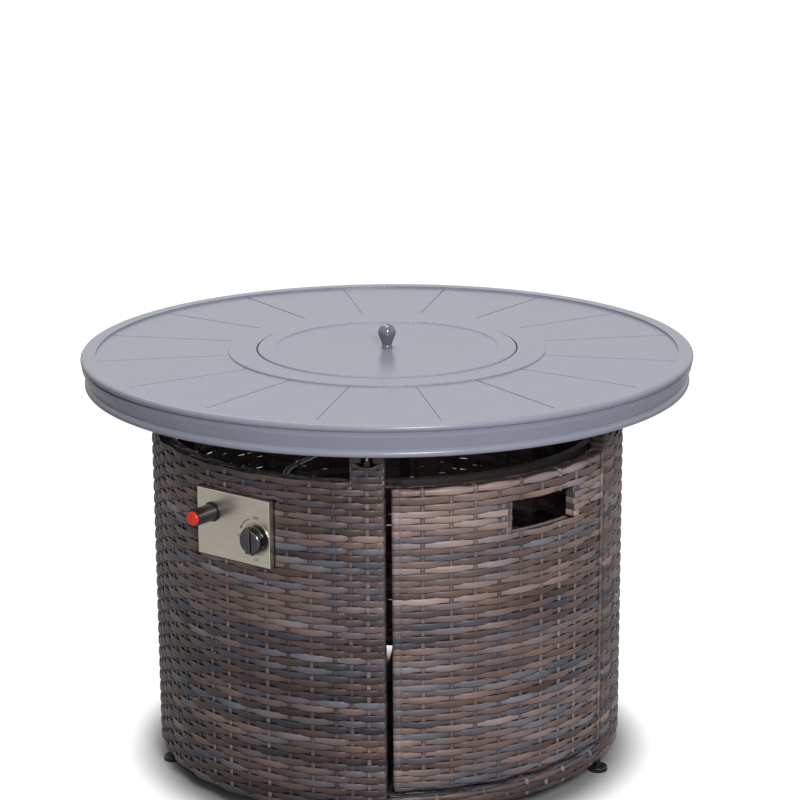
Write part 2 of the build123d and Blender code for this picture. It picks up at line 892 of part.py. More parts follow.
def make_wicker_door():
    """The door's wicker: its outer wall, its wrapped edges and the collar of the hand hole."""
    low, high = door_bottom, door_top
    edge = degrees_across(wrap_thickness, door_frame_inner)
    back = degrees_across(wrap_width, door_frame_inner)
    skin = arc_bar((door_inner, base_radius), (low, high), (door_start, door_end))
    corner = polar(base_radius, door_start, (low + high) / 2)
    skin = fillet(skin.edges().filter_by(Axis.Z).sort_by_distance(corner)[0], door_corner_radius)
    hollow = (low + wrap_thickness, high - wrap_thickness)
    skin -= arc_bar((door_inner + wrap_thickness, weave_inner), hollow, (door_start + edge, door_end - edge))
    opening = (low + wrap_width, high - wrap_width)
    skin -= arc_bar(
        (door_inner - 1, door_inner + wrap_thickness + 1), opening, (door_start + back, door_end - back)
    )
    depth = (base_radius - hand_hole_depth, base_radius)
    skin += hand_hole(hand_hole_collar) & arc_bar(depth, (low, high), (door_start, door_end))
    skin -= hand_hole(0)
    strike = strike_span()
    gap = degrees_across(1.5, door_frame_inner)
    strike_levels = (catch_level() - catch_height / 2 - 5.0, catch_level() + catch_height / 2 + 5.0)
    skin -= arc_bar((door_inner - 1, weave_inner), strike_levels, (strike[0] - gap, strike[1] + gap))
    pin_room = hinge_pin_radius + 3.4
    for levels in ((low - 1, low + wrap_thickness + 1), (high - wrap_thickness - 1, high + 1)):
        skin -= upright(pin_room, hinge_place(), levels)
    return skin


def make_lid_plate():
    """The burner lid: a flat rim, a shallow dished middle and a skirt that rests on the pan's flange."""
    step = lid_radius - lid_rim_width
    skirt = lid_radius - lid_thickness
    middle = lid_top - lid_step
    lid = turned([
        (0, lid_well), (knob_foot_radius + 1.0, lid_well), (step - 1.5, middle), (step, lid_top),
        (lid_radius - 1.5, lid_top), (lid_radius, lid_top - 1.5),
        (lid_radius, lid_skirt_bottom), (skirt, lid_skirt_bottom), (skirt, lid_top - lid_thickness),
        (step + 0.6, lid_top - lid_thickness), (step - 1.0, middle - lid_thickness), (
            0, lid_well - lid_thickness
        ),
    ])
    return lid - upright(lid_screw_radius + hole_clearance, Vector(0, 0), (lid_well - 5, lid_well + 5))


def make_lid_knob():
    """The turned knob: a small foot, a neck and a ball that tapers into it."""
    ball_level = lid_well + knob_height - knob_ball_radius
    foot_top = lid_well + knob_foot_thickness
    neck_level = lid_well + knob_neck_height
    taper = math.radians(60)
    ball_join = (knob_ball_radius * math.sin(taper), ball_level - knob_ball_radius * math.cos(taper))
    flare_radius = knob_neck_radius + 0.3 * (knob_foot_radius - knob_neck_radius)
    flare = (flare_radius, foot_top + 0.35 * (neck_level - foot_top))
    section = Polyline((0, lid_well), (knob_foot_radius, lid_well), (knob_foot_radius, foot_top))
    section += ThreePointArc((knob_foot_radius, foot_top), flare, (knob_neck_radius, neck_level))
    section += Line((knob_neck_radius, neck_level), ball_join)
    section += ThreePointArc(ball_join, (knob_ball_radius, ball_level), (0, lid_well + knob_height))
    section += Line((0, lid_well + knob_height), (0, lid_well))
    knob = revolve(Plane.XZ * make_face(section), Axis.Z)
    depth = lid_screw_length - lid_thickness + 1.0
    return knob - upright(lid_screw_radius + thread_clearance, Vector(0, 0), (lid_well - 1, lid_well + depth))


def make_lid_screw():
    """The screw that holds the knob, its head under the lid."""
    seat = lid_well - lid_thickness
    head = upright(2 * lid_screw_radius, Vector(0, 0), (seat - 3.0, seat))
    return head + upright(lid_screw_radius, Vector(0, 0), (seat, seat + lid_screw_length))


def sensor_places():
    """Where the electrode and the thermocouple pass through the pan."""
    return (polar(sensor_circle, electrode_angle), polar(sensor_circle, thermocouple_angle))


def make_burner_pan():
    """The stainless bowl that hangs on the ledge, with its drain, nipple and lead holes."""
    flange = surround_opening - pan_flange_gap
    wall_top = ledge_inner - pan_thickness
    wall_bottom = wall_top - pan_slope
    t = pan_thickness
    pan = turned([
        (0, pan_floor), (wall_bottom - t, pan_floor), (wall_top - t, pan_flange_top), (
            flange, pan_flange_top
        ),
        (flange, pan_flange_top - t), (wall_top, pan_flange_top - t), (wall_bottom, pan_floor - t), (
            0, pan_floor - t
        ),
    ])
    through = (pan_floor - 5, pan_floor + 5)
    pan -= upright(nipple_radius + hole_clearance, Vector(0, 0), through)
    for k in range(drain_count):
        pan -= upright(drain_radius, polar(drain_circle, 360.0 / drain_count * k + 15), through)
    for place in sensor_places():
        pan -= upright(grommet_radius - grommet_lip, place, through)
    return pan


def make_pan_grommets():
    """The rubber rings that line the lead holes."""
    rings = []
    for place in sensor_places():
        ring = upright(grommet_radius, place, (pan_floor, pan_floor + 1.5))
        ring += upright(
            grommet_radius - grommet_lip - thread_clearance,
            place,
            (pan_floor - pan_thickness - 1.0, pan_floor),
        )
        rings.append(ring - upright(sensor_radius + thread_clearance, place, (pan_floor - 5, pan_floor + 5)))
    return group(rings)


def make_burner_ring():
    """The ring burner: a ported square tube ring, two feed tubes and the hub on the nipple."""
    level = pan_floor + burner_lift
    half = burner_tube_radius
    section = Plane.XZ * Pos(burner_radius, level) * RectangleRounded(2 * half, 2 * half, burner_corner)
    ring = facing(90) * revolve(section, Axis.Z)
    reach = burner_radius - half + 1.0
    for side in (-1, 1):
        feed = Cylinder(feed_tube_radius, reach - hub_radius + 3.0)
        ring += Pos(side * (reach + hub_radius - 3.0) / 2, 0, level) * Rot(0, 90, 0) * feed
    ring += upright(hub_radius, Vector(0, 0), (pan_floor, level + half + 2.0))
    ring -= upright(
        nipple_radius + thread_clearance, Vector(0, 0), (pan_floor - 1, pan_floor + nipple_above + 1.0)
    )
    for k in range(burner_port_count):
        place = polar(burner_radius, 360.0 / burner_port_count * (k + 0.5))
        ring -= upright(burner_port_radius, place, (level + half - 3.0, level + half + 1))
    return ring


def make_burner_nipple():
    """The threaded pipe through the pan's floor."""
    levels = (pan_floor - nipple_below, pan_floor + nipple_above)
    pipe = upright(nipple_radius, Vector(0, 0), levels)
    return pipe - upright(nipple_radius - nipple_wall, Vector(0, 0), (levels[0] - 1, levels[1] + 1))


def make_burner_locknut():
    """The nut that clamps the pan between itself and the hub."""
    high = pan_floor - pan_thickness
    nut = upright_hexagon(locknut_flats, Vector(0, 0), (high - locknut_thickness, high))
    return nut - upright(
        nipple_radius + thread_clearance, Vector(0, 0), (high - locknut_thickness - 1, high + 1)
    )


def mixer_levels():
    """The air mixer's bottom and top."""
    high = pan_floor - pan_thickness - locknut_thickness - side_gap
    return (high - mixer_height, high)


def make_air_mixer():
    """The cup under the nipple where gas meets air through two windows."""
    low, high = mixer_levels()
    mixer = upright(mixer_radius, Vector(0, 0), (low, high))
    shoulder = pan_floor - nipple_below
    mixer -= upright(nipple_radius + thread_clearance, Vector(0, 0), (shoulder, high + 1))
    mixer -= upright(nipple_radius - nipple_wall, Vector(0, 0), (low + mixer_floor, shoulder + 1))
    mixer -= upright(spigot_radius + thread_clearance, Vector(0, 0), (low - 1, low + mixer_floor + 1))
    window = (low + mixer_floor + 1.0, low + mixer_floor + 1.0 + mixer_window_height)
    return mixer - block(45, (-5, 5), (-mixer_radius - 1, mixer_radius + 1), window)


def elbow_level():
    """The level of the elbow's side port."""
    return mixer_levels()[0] - elbow_height / 2


def tube_angle():
    """The direction from the burner's middle to the valve's outlet."""
    place = plate_point(knob_offset, valve_middle(), 0)
    return math.degrees(math.atan2(place.X, -place.Y))


def make_orifice_elbow():
    """The elbow that carries the orifice into the mixer and takes the gas tube at its side."""
    low = mixer_levels()[0] - elbow_height
    elbow = upright(elbow_radius, Vector(0, 0), (low, low + elbow_height))
    elbow += upright(spigot_radius, Vector(0, 0), (low + elbow_height, low + elbow_height + spigot_length))
    elbow += outward(elbow_height / 2 - 0.5, tube_angle(), 0, elbow_level(), (0, elbow_radius + 8.0))
    return elbow - outward(
        tube_radius + thread_clearance, tube_angle(), 0, elbow_level(), (elbow_radius, elbow_radius + 9.0)
    )


def make_flame_guard():
    """The folded steel guard that holds the electrode and the thermocouple beside the burner."""
    middle = (electrode_angle + thermocouple_angle) / 2
    half = 30.0
    t = guard_thickness
    levels = (pan_floor, pan_floor + guard_height)
    inner = sensor_circle - 9.0
    guard = block(
        middle, (-half, half), (inner, sensor_circle + 12.0), (pan_floor + 16.0, pan_floor + 16.0 + t)
    )
    guard += block(middle, (-half, half), (inner, inner + t), levels)
    for across in (-half, half - t):
        guard += block(
            middle, (across, across + t), (inner, sensor_circle + 12.0), (pan_floor, pan_floor + 16.0 + t)
        )
    for place in sensor_places():
        guard -= upright(sensor_radius + thread_clearance, place, levels)
    for k in range(-2, 3):
        guard -= outward(2.5, middle, 10.0 * k, pan_floor + 28.0, (inner - 5, inner + 5))
    return guard


def make_spark_electrode():
    """The ceramic rod with its bent spark wire."""
    place = sensor_places()[0]
    ceramic = upright(sensor_radius, place, (pan_floor - 8.0, pan_floor + sensor_height))
    wire = upright(1.0, place, (pan_floor + sensor_height, pan_floor + sensor_height + 9.0))
    tip = (sensor_circle - 9.0, sensor_circle + 1.0)
    level = pan_floor + sensor_height + 8.0
    return ceramic + wire + outward(1.0, electrode_angle, 0, level, tip)


def make_thermocouple():
    """The thermocouple's probe."""
    place = sensor_places()[1]
    probe = upright(sensor_radius, place, (pan_floor - 8.0, pan_floor + sensor_height))
    return probe + upright(
        sensor_radius - 1.0, place, (pan_floor + sensor_height, pan_floor + sensor_height + 6.0)
    )


def rock(place, radius, height, seed):
    """One flat-bottomed lava rock: three uneven rings of corners, lofted straight."""
    sections = []
    for share, level in ((0.86, 0.0), (1.0, 0.45), (0.55, 1.0)):
        corners = []
        for k in range(rock_sides):
            angle = 360.0 / rock_sides * k + 11.0 * seed
            reach = radius * share * (0.86 + 0.14 * math.sin(2.1 * k + 1.7 * seed))
            corners.append(polar(reach, angle, pan_floor + height * level) + place)
        sections.append(make_face(Polyline(*corners, close=True)))
    return loft(sections, ruled=True)


def make_lava_rocks():
    """A bed of lava rocks on the pan's floor, inside and outside the burner ring."""
    rocks = []
    for ring, (ring_radius, count, radius, height) in enumerate(rock_rings):
        for k in range(count):
            angle = 360.0 / count * (k + 0.5) + 4.0 * ring
            middle = (electrode_angle + thermocouple_angle) / 2
            apart = abs((angle - middle + 180.0) % 360.0 - 180.0)
            if ring == 2 and apart < 25.0:
                continue
            place = polar(ring_radius, angle)
            clear_of_tube = abs(place.Y) > burner_tube_radius + radius
            if ring < 2 and not clear_of_tube:
                continue
            size = 0.9 + 0.1 * math.sin(3.3 * k + ring)
            rocks.append(rock(place, radius * size, height * size, k + 5 * ring))
    return group(rocks)


def plate_outline(depth, inset):
    """A block the size of the control plate between two distances."""
    half = plate_half_width - inset
    half_height = plate_height / 2 - inset
    return block(plate_angle, (-half, half), depth, (plate_level - half_height, plate_level + half_height))


def stud_places():
    """The corners where the control plate's studs stand."""
    across = plate_half_width - plate_stud_inset
    height = plate_height / 2 - plate_stud_inset
    return [(x, plate_level + z) for x in (-across, across) for z in (-height, height)]


def make_control_plate():
    """The stainless plate: a shallow box with returned edges, four weld studs and two holes."""
    plate = plate_outline((plate_distance - plate_return, plate_distance), 0)
    plate = fillet(front_edges(plate.edges().filter_by(GeomType.LINE), 0, plate_level, 4), 1.0)
    plate -= plate_outline((plate_distance - plate_return - 1, plate_back), plate_thickness)
    end = bracket_back - plate_stud_nut_thickness - 2.0
    for across, level in stud_places():
        plate += outward(plate_stud_radius, plate_angle, across, level, (end, plate_back))
    hole = (plate_back - 1, plate_distance + 1)
    plate -= outward(spindle_radius + 2.0, plate_angle, knob_offset, knob_level, hole)
    return plate - outward(
        igniter_body_radius + hole_clearance, plate_angle, igniter_offset, igniter_level, hole
    )


def make_plate_nuts():
    """The nuts on both sides of the bracket that set the plate's distance."""
    nuts = []
    for across, level in stud_places():
        behind = (bracket_back - plate_stud_nut_thickness, bracket_back)
        ahead = (plate_bracket_distance, plate_bracket_distance + plate_stud_nut_thickness)
        for distance in (behind, ahead):
            nut = outward_hexagon(plate_stud_nut_flats, plate_angle, across, level, distance)
            bore = (distance[0] - 1, distance[1] + 1)
            nuts.append(nut - outward(plate_stud_radius + thread_clearance, plate_angle, across, level, bore))
    return group(nuts)


def make_control_bracket():
    """The bracket between the two struts that carries the plate, the valve and the igniter's tail."""
    half_height = plate_bracket_height / 2
    levels = (plate_level - half_height, plate_level + half_height)
    ear_half = strut_width / 2 + 4.0
    reach = strut_inner * math.sin(math.radians(plate_strut_offset)) - ear_half + 2.0
    bracket = block(plate_angle, (-reach, reach), (bracket_back, plate_bracket_distance), levels)
    ear = (strut_inner - plate_bracket_thickness, strut_inner)
    for angle in plate_strut_angles():
        bracket += block(angle, (-ear_half, ear_half), ear, levels)
        for level in bracket_screw_levels():
            bracket -= outward(screw_radius + hole_clearance, angle, 0, level, (ear[0] - 1, ear[1] + 1))
    span = (bracket_back - 1, plate_bracket_distance + 1)
    for across, level in stud_places():
        bracket -= outward(plate_stud_radius + hole_clearance, plate_angle, across, level, span)
    bracket -= outward(bonnet_radius + hole_clearance, plate_angle, knob_offset, knob_level, span)
    return bracket - outward(
        igniter_body_radius + hole_clearance, plate_angle, igniter_offset, igniter_level, span
    )


def control_rod(radius, distance, inner=0.0):
    """A turned part on the gas knob's axis."""
    rod = outward(radius, plate_angle, knob_offset, knob_level, distance)
    if inner:
        rod -= outward(inner, plate_angle, knob_offset, knob_level, (distance[0] - 1, distance[1] + 1))
    return rod


def knob_distances():
    """The gas knob's back and front."""
    back = plate_distance + gas_knob_travel + gas_knob_clearance
    return (back, back + gas_knob_length)


def make_knob_bezel():
    """The flat ring on the plate round the gas knob."""
    inner = gas_knob_radius + side_gap
    return control_rod(inner + bezel_width, (plate_distance, plate_distance + bezel_thickness), inner)


def make_gas_knob():
    """The gas knob: a skirt, a domed body and the raised grip across it."""
    back, front = knob_distances()
    skirt_front = back + gas_knob_skirt
    knob = control_rod(gas_knob_radius, (back, skirt_front))
    dome = control_rod(gas_knob_radius - 1.5, (skirt_front, front - gas_knob_grip_rise))
    knob += fillet(front_edges(dome.edges().filter_by(GeomType.CIRCLE), knob_offset, knob_level, 1), 5.0)
    half = gas_knob_radius - 2.5
    grip_span = (knob_offset - gas_knob_grip_width / 2, knob_offset + gas_knob_grip_width / 2)
    grip = block(plate_angle, grip_span, (skirt_front - 1.0, front), (knob_level - half, knob_level + half))
    knob += fillet(front_edges(grip.edges(), knob_offset, knob_level, 4), 2.5)
    pointer_levels = (knob_level - gas_knob_radius - 2.0, knob_level - half)
    pointer_span = (knob_offset - 2.0, knob_offset + 2.0)
    knob += block(plate_angle, pointer_span, (back + 1.0, skirt_front), pointer_levels)
    return knob - control_rod(spindle_radius + 0.02, (back - 1, back + spindle_depth))


def bonnet_end():
    """The front of the valve's bonnet."""
    return bracket_back + bonnet_length


def seat_distances():
    """The spring seat's back and front, with the knob out."""
    front = knob_distances()[0] - side_gap - collar_thickness - 6.0
    return (front - seat_thickness, front)


def make_valve_spindle():
    """The spindle that the knob turns, with the collar that pushes the spring seat."""
    back = knob_distances()[0]
    spindle = control_rod(spindle_radius, (bonnet_end() - 9.0, back + spindle_depth - 1.0))
    return spindle + control_rod(collar_radius, (seat_distances()[1], seat_distances()[1] + collar_thickness))


def make_spring_seat():
    """The washer between the spindle's collar and its spring."""
    return control_rod(seat_radius, seat_distances(), spindle_radius + spindle_clearance)


def make_spindle_spring():
    """The spring that brings the knob back out."""
    outer = seat_radius - 1.0
    return control_rod(outer, (bonnet_end(), seat_distances()[0]), outer - spring_wall)


def valve_middle():
    """How far the valve's ports are from the axis."""
    return bracket_back - valve_flange_thickness - valve_length / 2


def make_valve_body():
    """The valve: flange, body, bonnet, and ports above and below."""
    half = valve_size / 2
    across = (knob_offset - half, knob_offset + half)
    levels = (knob_level - half, knob_level + half)
    back = bracket_back - valve_flange_thickness - valve_length
    body = block(plate_angle, across, (back, bracket_back - valve_flange_thickness), levels)
    wide = valve_flange_width / 2
    flange = (knob_offset - wide + 8.0, knob_offset + wide - 8.0)
    body += block(
        plate_angle,
        flange,
        (bracket_back - valve_flange_thickness, bracket_back),
        (knob_level - wide, knob_level + wide),
    )
    body += control_rod(bonnet_radius, (bracket_back - 1, bonnet_end()))
    body -= control_rod(spindle_radius + spindle_clearance, (bonnet_end() - 14.0, bonnet_end() + 1))
    place = valve_port_place()
    body += upright(port_radius, place, (knob_level - half - port_length, knob_level - half))
    body += upright(port_radius, place, (knob_level + half, knob_level + half + port_length))
    body -= upright(inlet_bore_radius, place, (knob_level - half - port_length - 1, knob_level))
    return body - upright(
        tube_radius + thread_clearance, place, (knob_level + half, knob_level + half + port_length + 1)
    )


def valve_port_place():
    """The vertical axis of the valve's ports."""
    return plate_point(knob_offset, valve_middle(), 0)


def make_inlet_fitting():
    """The flared inlet that the supply hose screws on to."""
    high = knob_level - valve_size / 2 - port_length
    place = valve_port_place()
    fitting = upright_hexagon(inlet_flats, place, (high - inlet_hex_thickness, high))
    fitting += upright(
        inlet_radius, place, (high - inlet_hex_thickness - inlet_length, high - inlet_hex_thickness)
    )
    return fitting - upright(
        inlet_bore_radius, place, (high - inlet_hex_thickness - inlet_length - 1, high + 1)
    )


def make_gas_tube():
    """The rigid tube from the valve up and across to the burner's elbow."""
    start = valve_port_place()
    foot = Vector(start.X, start.Y, knob_level + valve_size / 2 + 1.0)
    corner = Vector(start.X, start.Y, elbow_level())
    end = polar(elbow_radius + 1.0, tube_angle(), elbow_level())
    path = FilletPolyline(foot, corner, end, radius=tube_bend_radius)
    profile = Plane(origin=foot, z_dir=(0, 0, 1)) * Circle(tube_radius)
    tube = sweep(profile, path=path)
    print("gas tube: bend radius", tube_bend_radius, "length", round(path.length, 1))
    print(
        "gas tube: volume over section times length",
        round(tube.volume / (math.pi * tube_radius ** 2 * path.length), 4),
    )
    return tube


def make_tube_nuts():
    """The nuts that hold the gas tube at the valve and at the elbow."""
    place = valve_port_place()
    low = knob_level + valve_size / 2 + port_length
    lower = upright_hexagon(tube_nut_flats, place, (low, low + tube_nut_length))
    lower -= upright(tube_radius + thread_clearance, place, (low - 1, low + tube_nut_length + 1))
    near = elbow_radius + 8.0
    span = (near, near + tube_nut_length)
    upper = outward_hexagon(tube_nut_flats - 2.0, tube_angle(), 0, elbow_level(), span)
    upper -= outward(
        tube_radius + thread_clearance, tube_angle(), 0, elbow_level(), (near - 1, near + tube_nut_length + 1)
    )
    return group([lower, upper])


def igniter_rod(radius, distance):
    """A turned part on the igniter's axis."""
    return outward(radius, plate_angle, igniter_offset, igniter_level, distance)


def igniter_front():
    """The front of the igniter's barrel."""
    return plate_distance + igniter_length


def igniter_bore_end():
    """The bottom of the bore that the button slides in."""
    return igniter_front() + button_proud - button_thickness - igniter_spring_length


def igniter_tail():
    """The back end of the igniter's body."""
    return plate_back - igniter_body_length


def make_igniter_housing():
    """The igniter's barrel in front of the plate and its body behind it, bored for the button."""
    housing = igniter_rod(igniter_radius, (plate_distance, igniter_front()))
    housing += igniter_rod(igniter_flange_radius, (plate_distance, plate_distance + igniter_flange_thickness))
    housing += igniter_rod(igniter_body_radius, (igniter_tail(), plate_distance))
    bore = (igniter_bore_end(), igniter_front() + 1)
    housing -= igniter_rod(igniter_bore_radius, bore)
    stem_room = button_stem_reach + button_travel + 3.0
    housing -= igniter_rod(button_stem_radius + thread_clearance, (bore[0] - stem_room, bore[0] + 1))
    return housing - igniter_rod(lead_radius + thread_clearance, (igniter_tail() - 1, igniter_tail() + 10.0))


def make_igniter_nut():
    """The lock nut behind the plate."""
    distance = (plate_back - igniter_nut_thickness, plate_back)
    nut = outward_hexagon(igniter_nut_flats, plate_angle, igniter_offset, igniter_level, distance)
    return nut - igniter_rod(igniter_body_radius + thread_clearance, (distance[0] - 1, distance[1] + 1))


def make_igniter_button():
    """The red button and the stem that strikes the crystal."""
    front = igniter_front() + button_proud
    face = igniter_rod(igniter_bore_radius - button_clearance, (front - button_thickness, front))
    face = fillet(front_edges(face.edges().filter_by(GeomType.CIRCLE), igniter_offset, igniter_level, 1), 2.5)
    stem = (igniter_bore_end() - button_stem_reach, front - button_thickness)
    return face + igniter_rod(button_stem_radius, stem)


def make_igniter_spring():
    """The spring under the button."""
    low = igniter_bore_end()
    high = low + igniter_spring_length
    inner = button_stem_radius + 1.0
    return igniter_rod(inner + spring_wall, (low, high)) - igniter_rod(inner, (low - 1, high + 1))


def lead(points, name):
    """A round lead along straight runs joined by arcs, with its volume checked."""
    bends = [lead_bend_radius, lead_bend_radius, lead_end_radius]
    path = FilletPolyline(*points, radius=bends)
    direction = points[1] - points[0]
    profile = Plane(origin=points[0], z_dir=direction) * Circle(lead_radius)
    body = sweep(profile, path=path)
    share = body.volume / (math.pi * lead_radius ** 2 * path.length)
    print(name, "bend radii", bends, "length", round(path.length, 1), "volume share", round(share, 4))
    return body


def make_igniter_lead():
    """The high-tension lead from the igniter's tail to the electrode."""
    tail = plate_point(igniter_offset, igniter_tail() + lead_joint_depth, igniter_level)
    back = plate_point(igniter_offset, igniter_tail() - igniter_lead_run, igniter_level)
    rise = Vector(back.X, back.Y, lead_level)
    place = sensor_places()[0]
    under = Vector(place.X, place.Y, lead_level)
    end = Vector(place.X, place.Y, pan_floor - lead_end_drop)
    return lead([tail, back, rise, under, end], "igniter lead")


def make_thermocouple_lead():
    """The thermocouple's lead from its probe down to the valve's back."""
    place = sensor_places()[1]
    back = bracket_back - valve_flange_thickness - valve_length
    start = plate_point(knob_offset, back, knob_level)
    behind = plate_point(knob_offset, back - thermocouple_lead_run, knob_level)
    rise = Vector(behind.X, behind.Y, lead_level)
    under = Vector(place.X, place.Y, lead_level)
    end = Vector(place.X, place.Y, pan_floor - lead_end_drop)
    return lead([start, behind, rise, under, end], "thermocouple lead")


def make_nodes():
    """Every sub-part by the name of its node."""
    nodes = {
        "base_frame": make_base_frame(),
        "tank_tray": make_tank_tray(),
        "wicker_panel_left": make_wicker_panel(4) - plate_window(),
        "wicker_panel_back_right": make_wicker_panel(1),
        "wicker_panel_back": make_wicker_panel(2),
        "wicker_panel_back_left": make_wicker_panel(3),
        "wicker_sill": make_wicker_sill(),
        "wicker_posts": make_wicker_posts(),
        "door_pivot_brackets": make_hinge_brackets(),
        "door_pivot_pins": make_hinge_pins(),
        "door_catch_bracket": make_catch_bracket(),
        "door_catch_magnet": make_catch_magnet(),
        "door_frame": make_door_frame(),
        "door_bushes": make_door_bushes(),
        "door_strike": make_door_strike(),
        "wicker_door": make_wicker_door(),
        "tabletop_frame": make_tabletop_frame(),
        "tabletop_sheet": make_tabletop_sheet(),
        "tabletop_rim": make_tabletop_rim(),
        "burner_surround": make_burner_surround(),
        "frame_screws": make_frame_screws(),
        "post_bolts": make_post_bolts(),
        "post_bolt_nuts": make_post_bolt_nuts(),
        "burner_pan": make_burner_pan(),
        "pan_grommets": make_pan_grommets(),
        "burner_ring": make_burner_ring(),
        "burner_nipple": make_burner_nipple(),
        "burner_locknut": make_burner_locknut(),
        "air_mixer": make_air_mixer(),
        "orifice_elbow": make_orifice_elbow(),
        "flame_guard": make_flame_guard(),
        "spark_electrode": make_spark_electrode(),
        "thermocouple": make_thermocouple(),
        "lava_rocks": make_lava_rocks(),
        "control_plate": make_control_plate(),
        "control_plate_nuts": make_plate_nuts(),
        "control_bracket": make_control_bracket(),
        "knob_bezel": make_knob_bezel(),
        "gas_knob": make_gas_knob(),
        "valve_spindle": make_valve_spindle(),
        "spring_seat": make_spring_seat(),
        "spindle_spring": make_spindle_spring(),
        "valve_body": make_valve_body(),
        "inlet_fitting": make_inlet_fitting(),
        "gas_tube": make_gas_tube(),
        "tube_nuts": make_tube_nuts(),
        "igniter_housing": make_igniter_housing(),
        "igniter_nut": make_igniter_nut(),
        "igniter_button": make_igniter_button(),
        "igniter_spring": make_igniter_spring(),
        "igniter_lead": make_igniter_lead(),
        "thermocouple_lead": make_thermocouple_lead(),
        "lid_plate": make_lid_plate(),
        "lid_knob": make_lid_knob(),
        "lid_knob_screw": make_lid_screw(),
    }
    for index, angle in enumerate(post_angles):
        nodes[f"levelling_foot_{index + 1}"] = make_levelling_foot(angle)
    return nodes


os.makedirs("parts", exist_ok=True)
for node, shape in make_nodes().items():
    export_step(shape, f"parts/{node}.step")
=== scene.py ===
import logging
import math
from dataclasses import dataclass, field, replace
from enum import Enum
from functools import cache
from typing import Iterable, Sequence

import bmesh
import bpy
import numpy as np
from mathutils import Matrix, Vector, noise


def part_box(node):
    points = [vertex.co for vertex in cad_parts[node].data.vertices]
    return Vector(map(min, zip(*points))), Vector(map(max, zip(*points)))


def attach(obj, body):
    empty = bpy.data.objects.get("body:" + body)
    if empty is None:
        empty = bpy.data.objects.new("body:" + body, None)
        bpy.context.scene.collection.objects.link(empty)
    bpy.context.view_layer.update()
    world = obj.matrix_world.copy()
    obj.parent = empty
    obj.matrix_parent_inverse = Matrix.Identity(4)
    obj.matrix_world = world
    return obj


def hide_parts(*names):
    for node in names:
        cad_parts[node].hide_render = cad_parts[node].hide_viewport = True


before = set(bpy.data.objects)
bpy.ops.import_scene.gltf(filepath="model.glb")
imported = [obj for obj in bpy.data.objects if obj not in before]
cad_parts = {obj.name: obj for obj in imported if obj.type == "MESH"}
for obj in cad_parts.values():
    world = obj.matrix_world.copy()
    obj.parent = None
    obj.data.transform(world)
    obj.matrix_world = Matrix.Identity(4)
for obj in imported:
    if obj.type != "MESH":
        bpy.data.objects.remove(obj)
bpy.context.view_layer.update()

# The looks of a round gas fire pit table: a powder-coated aluminium top with a lift-off burner
# lid, on a base and a door woven from flat resin strand.
# Lengths are millimetres and angles degrees from the front, growing towards +X, until a mesh is made.

MM = 0.001
PLATE_ANGLE = -37.6
log = logging.getLogger("fire_pit_table")

Pair = tuple[float, float]
Triple = tuple[float, float, float]
Socket = bpy.types.NodeSocket


class Body(Enum):
    """The moving bodies that pieces of this scene ride on."""

    BASE = "base"
    DOOR = "door"


class Facing(Enum):
    """Which end of a woven wall is wrapped round a post beside the door."""

    NEITHER = 0
    START = 1
    END = 2


def linear(code: str) -> tuple[float, float, float, float]:
    """Turns an sRGB hex colour to linear light.

    Args:
        code: the colour as six hex digits after a hash sign.

    Returns:
        Red, green, blue and an alpha of one.
    """
    parts = [int(code[i:i + 2], 16) / 255 for i in (1, 3, 5)]
    light = [p / 12.92 if p <= 0.04045 else ((p + 0.055) / 1.055) ** 2.4 for p in parts]
    return (light[0], light[1], light[2], 1.0)


def per_metre(size: float) -> float:
    """How often a pattern of that size in millimetres fits in a metre."""
    return 1.0 / (size * MM)


def add_node(
    tree: bpy.types.NodeTree,
    kind: str,
    settings: dict | None = None,
    links: dict | None = None,
) -> bpy.types.Node:
    """Adds one shader node.

    Args:
        tree: the material's node tree.
        kind: the node's type.
        settings: values by property or socket; "stops" holds a colour ramp's places and colours.
        links: source sockets by the name or number of the socket that they feed.

    Returns:
        The new node.
    """
    node = tree.nodes.new(kind)
    for key, value in (settings or {}).items():
        if key == "stops":
            elements = node.color_ramp.elements
            while len(elements) < len(value):
                elements.new(1.0)
            for element, (place, colour) in zip(elements, value):
                element.position = place
                element.color = colour
        elif isinstance(key, str) and hasattr(node, key):
            setattr(node, key, value)
        else:
            node.inputs[key].default_value = value
    for key, source in (links or {}).items():
        tree.links.new(source, node.inputs[key])
    return node


# Finishes


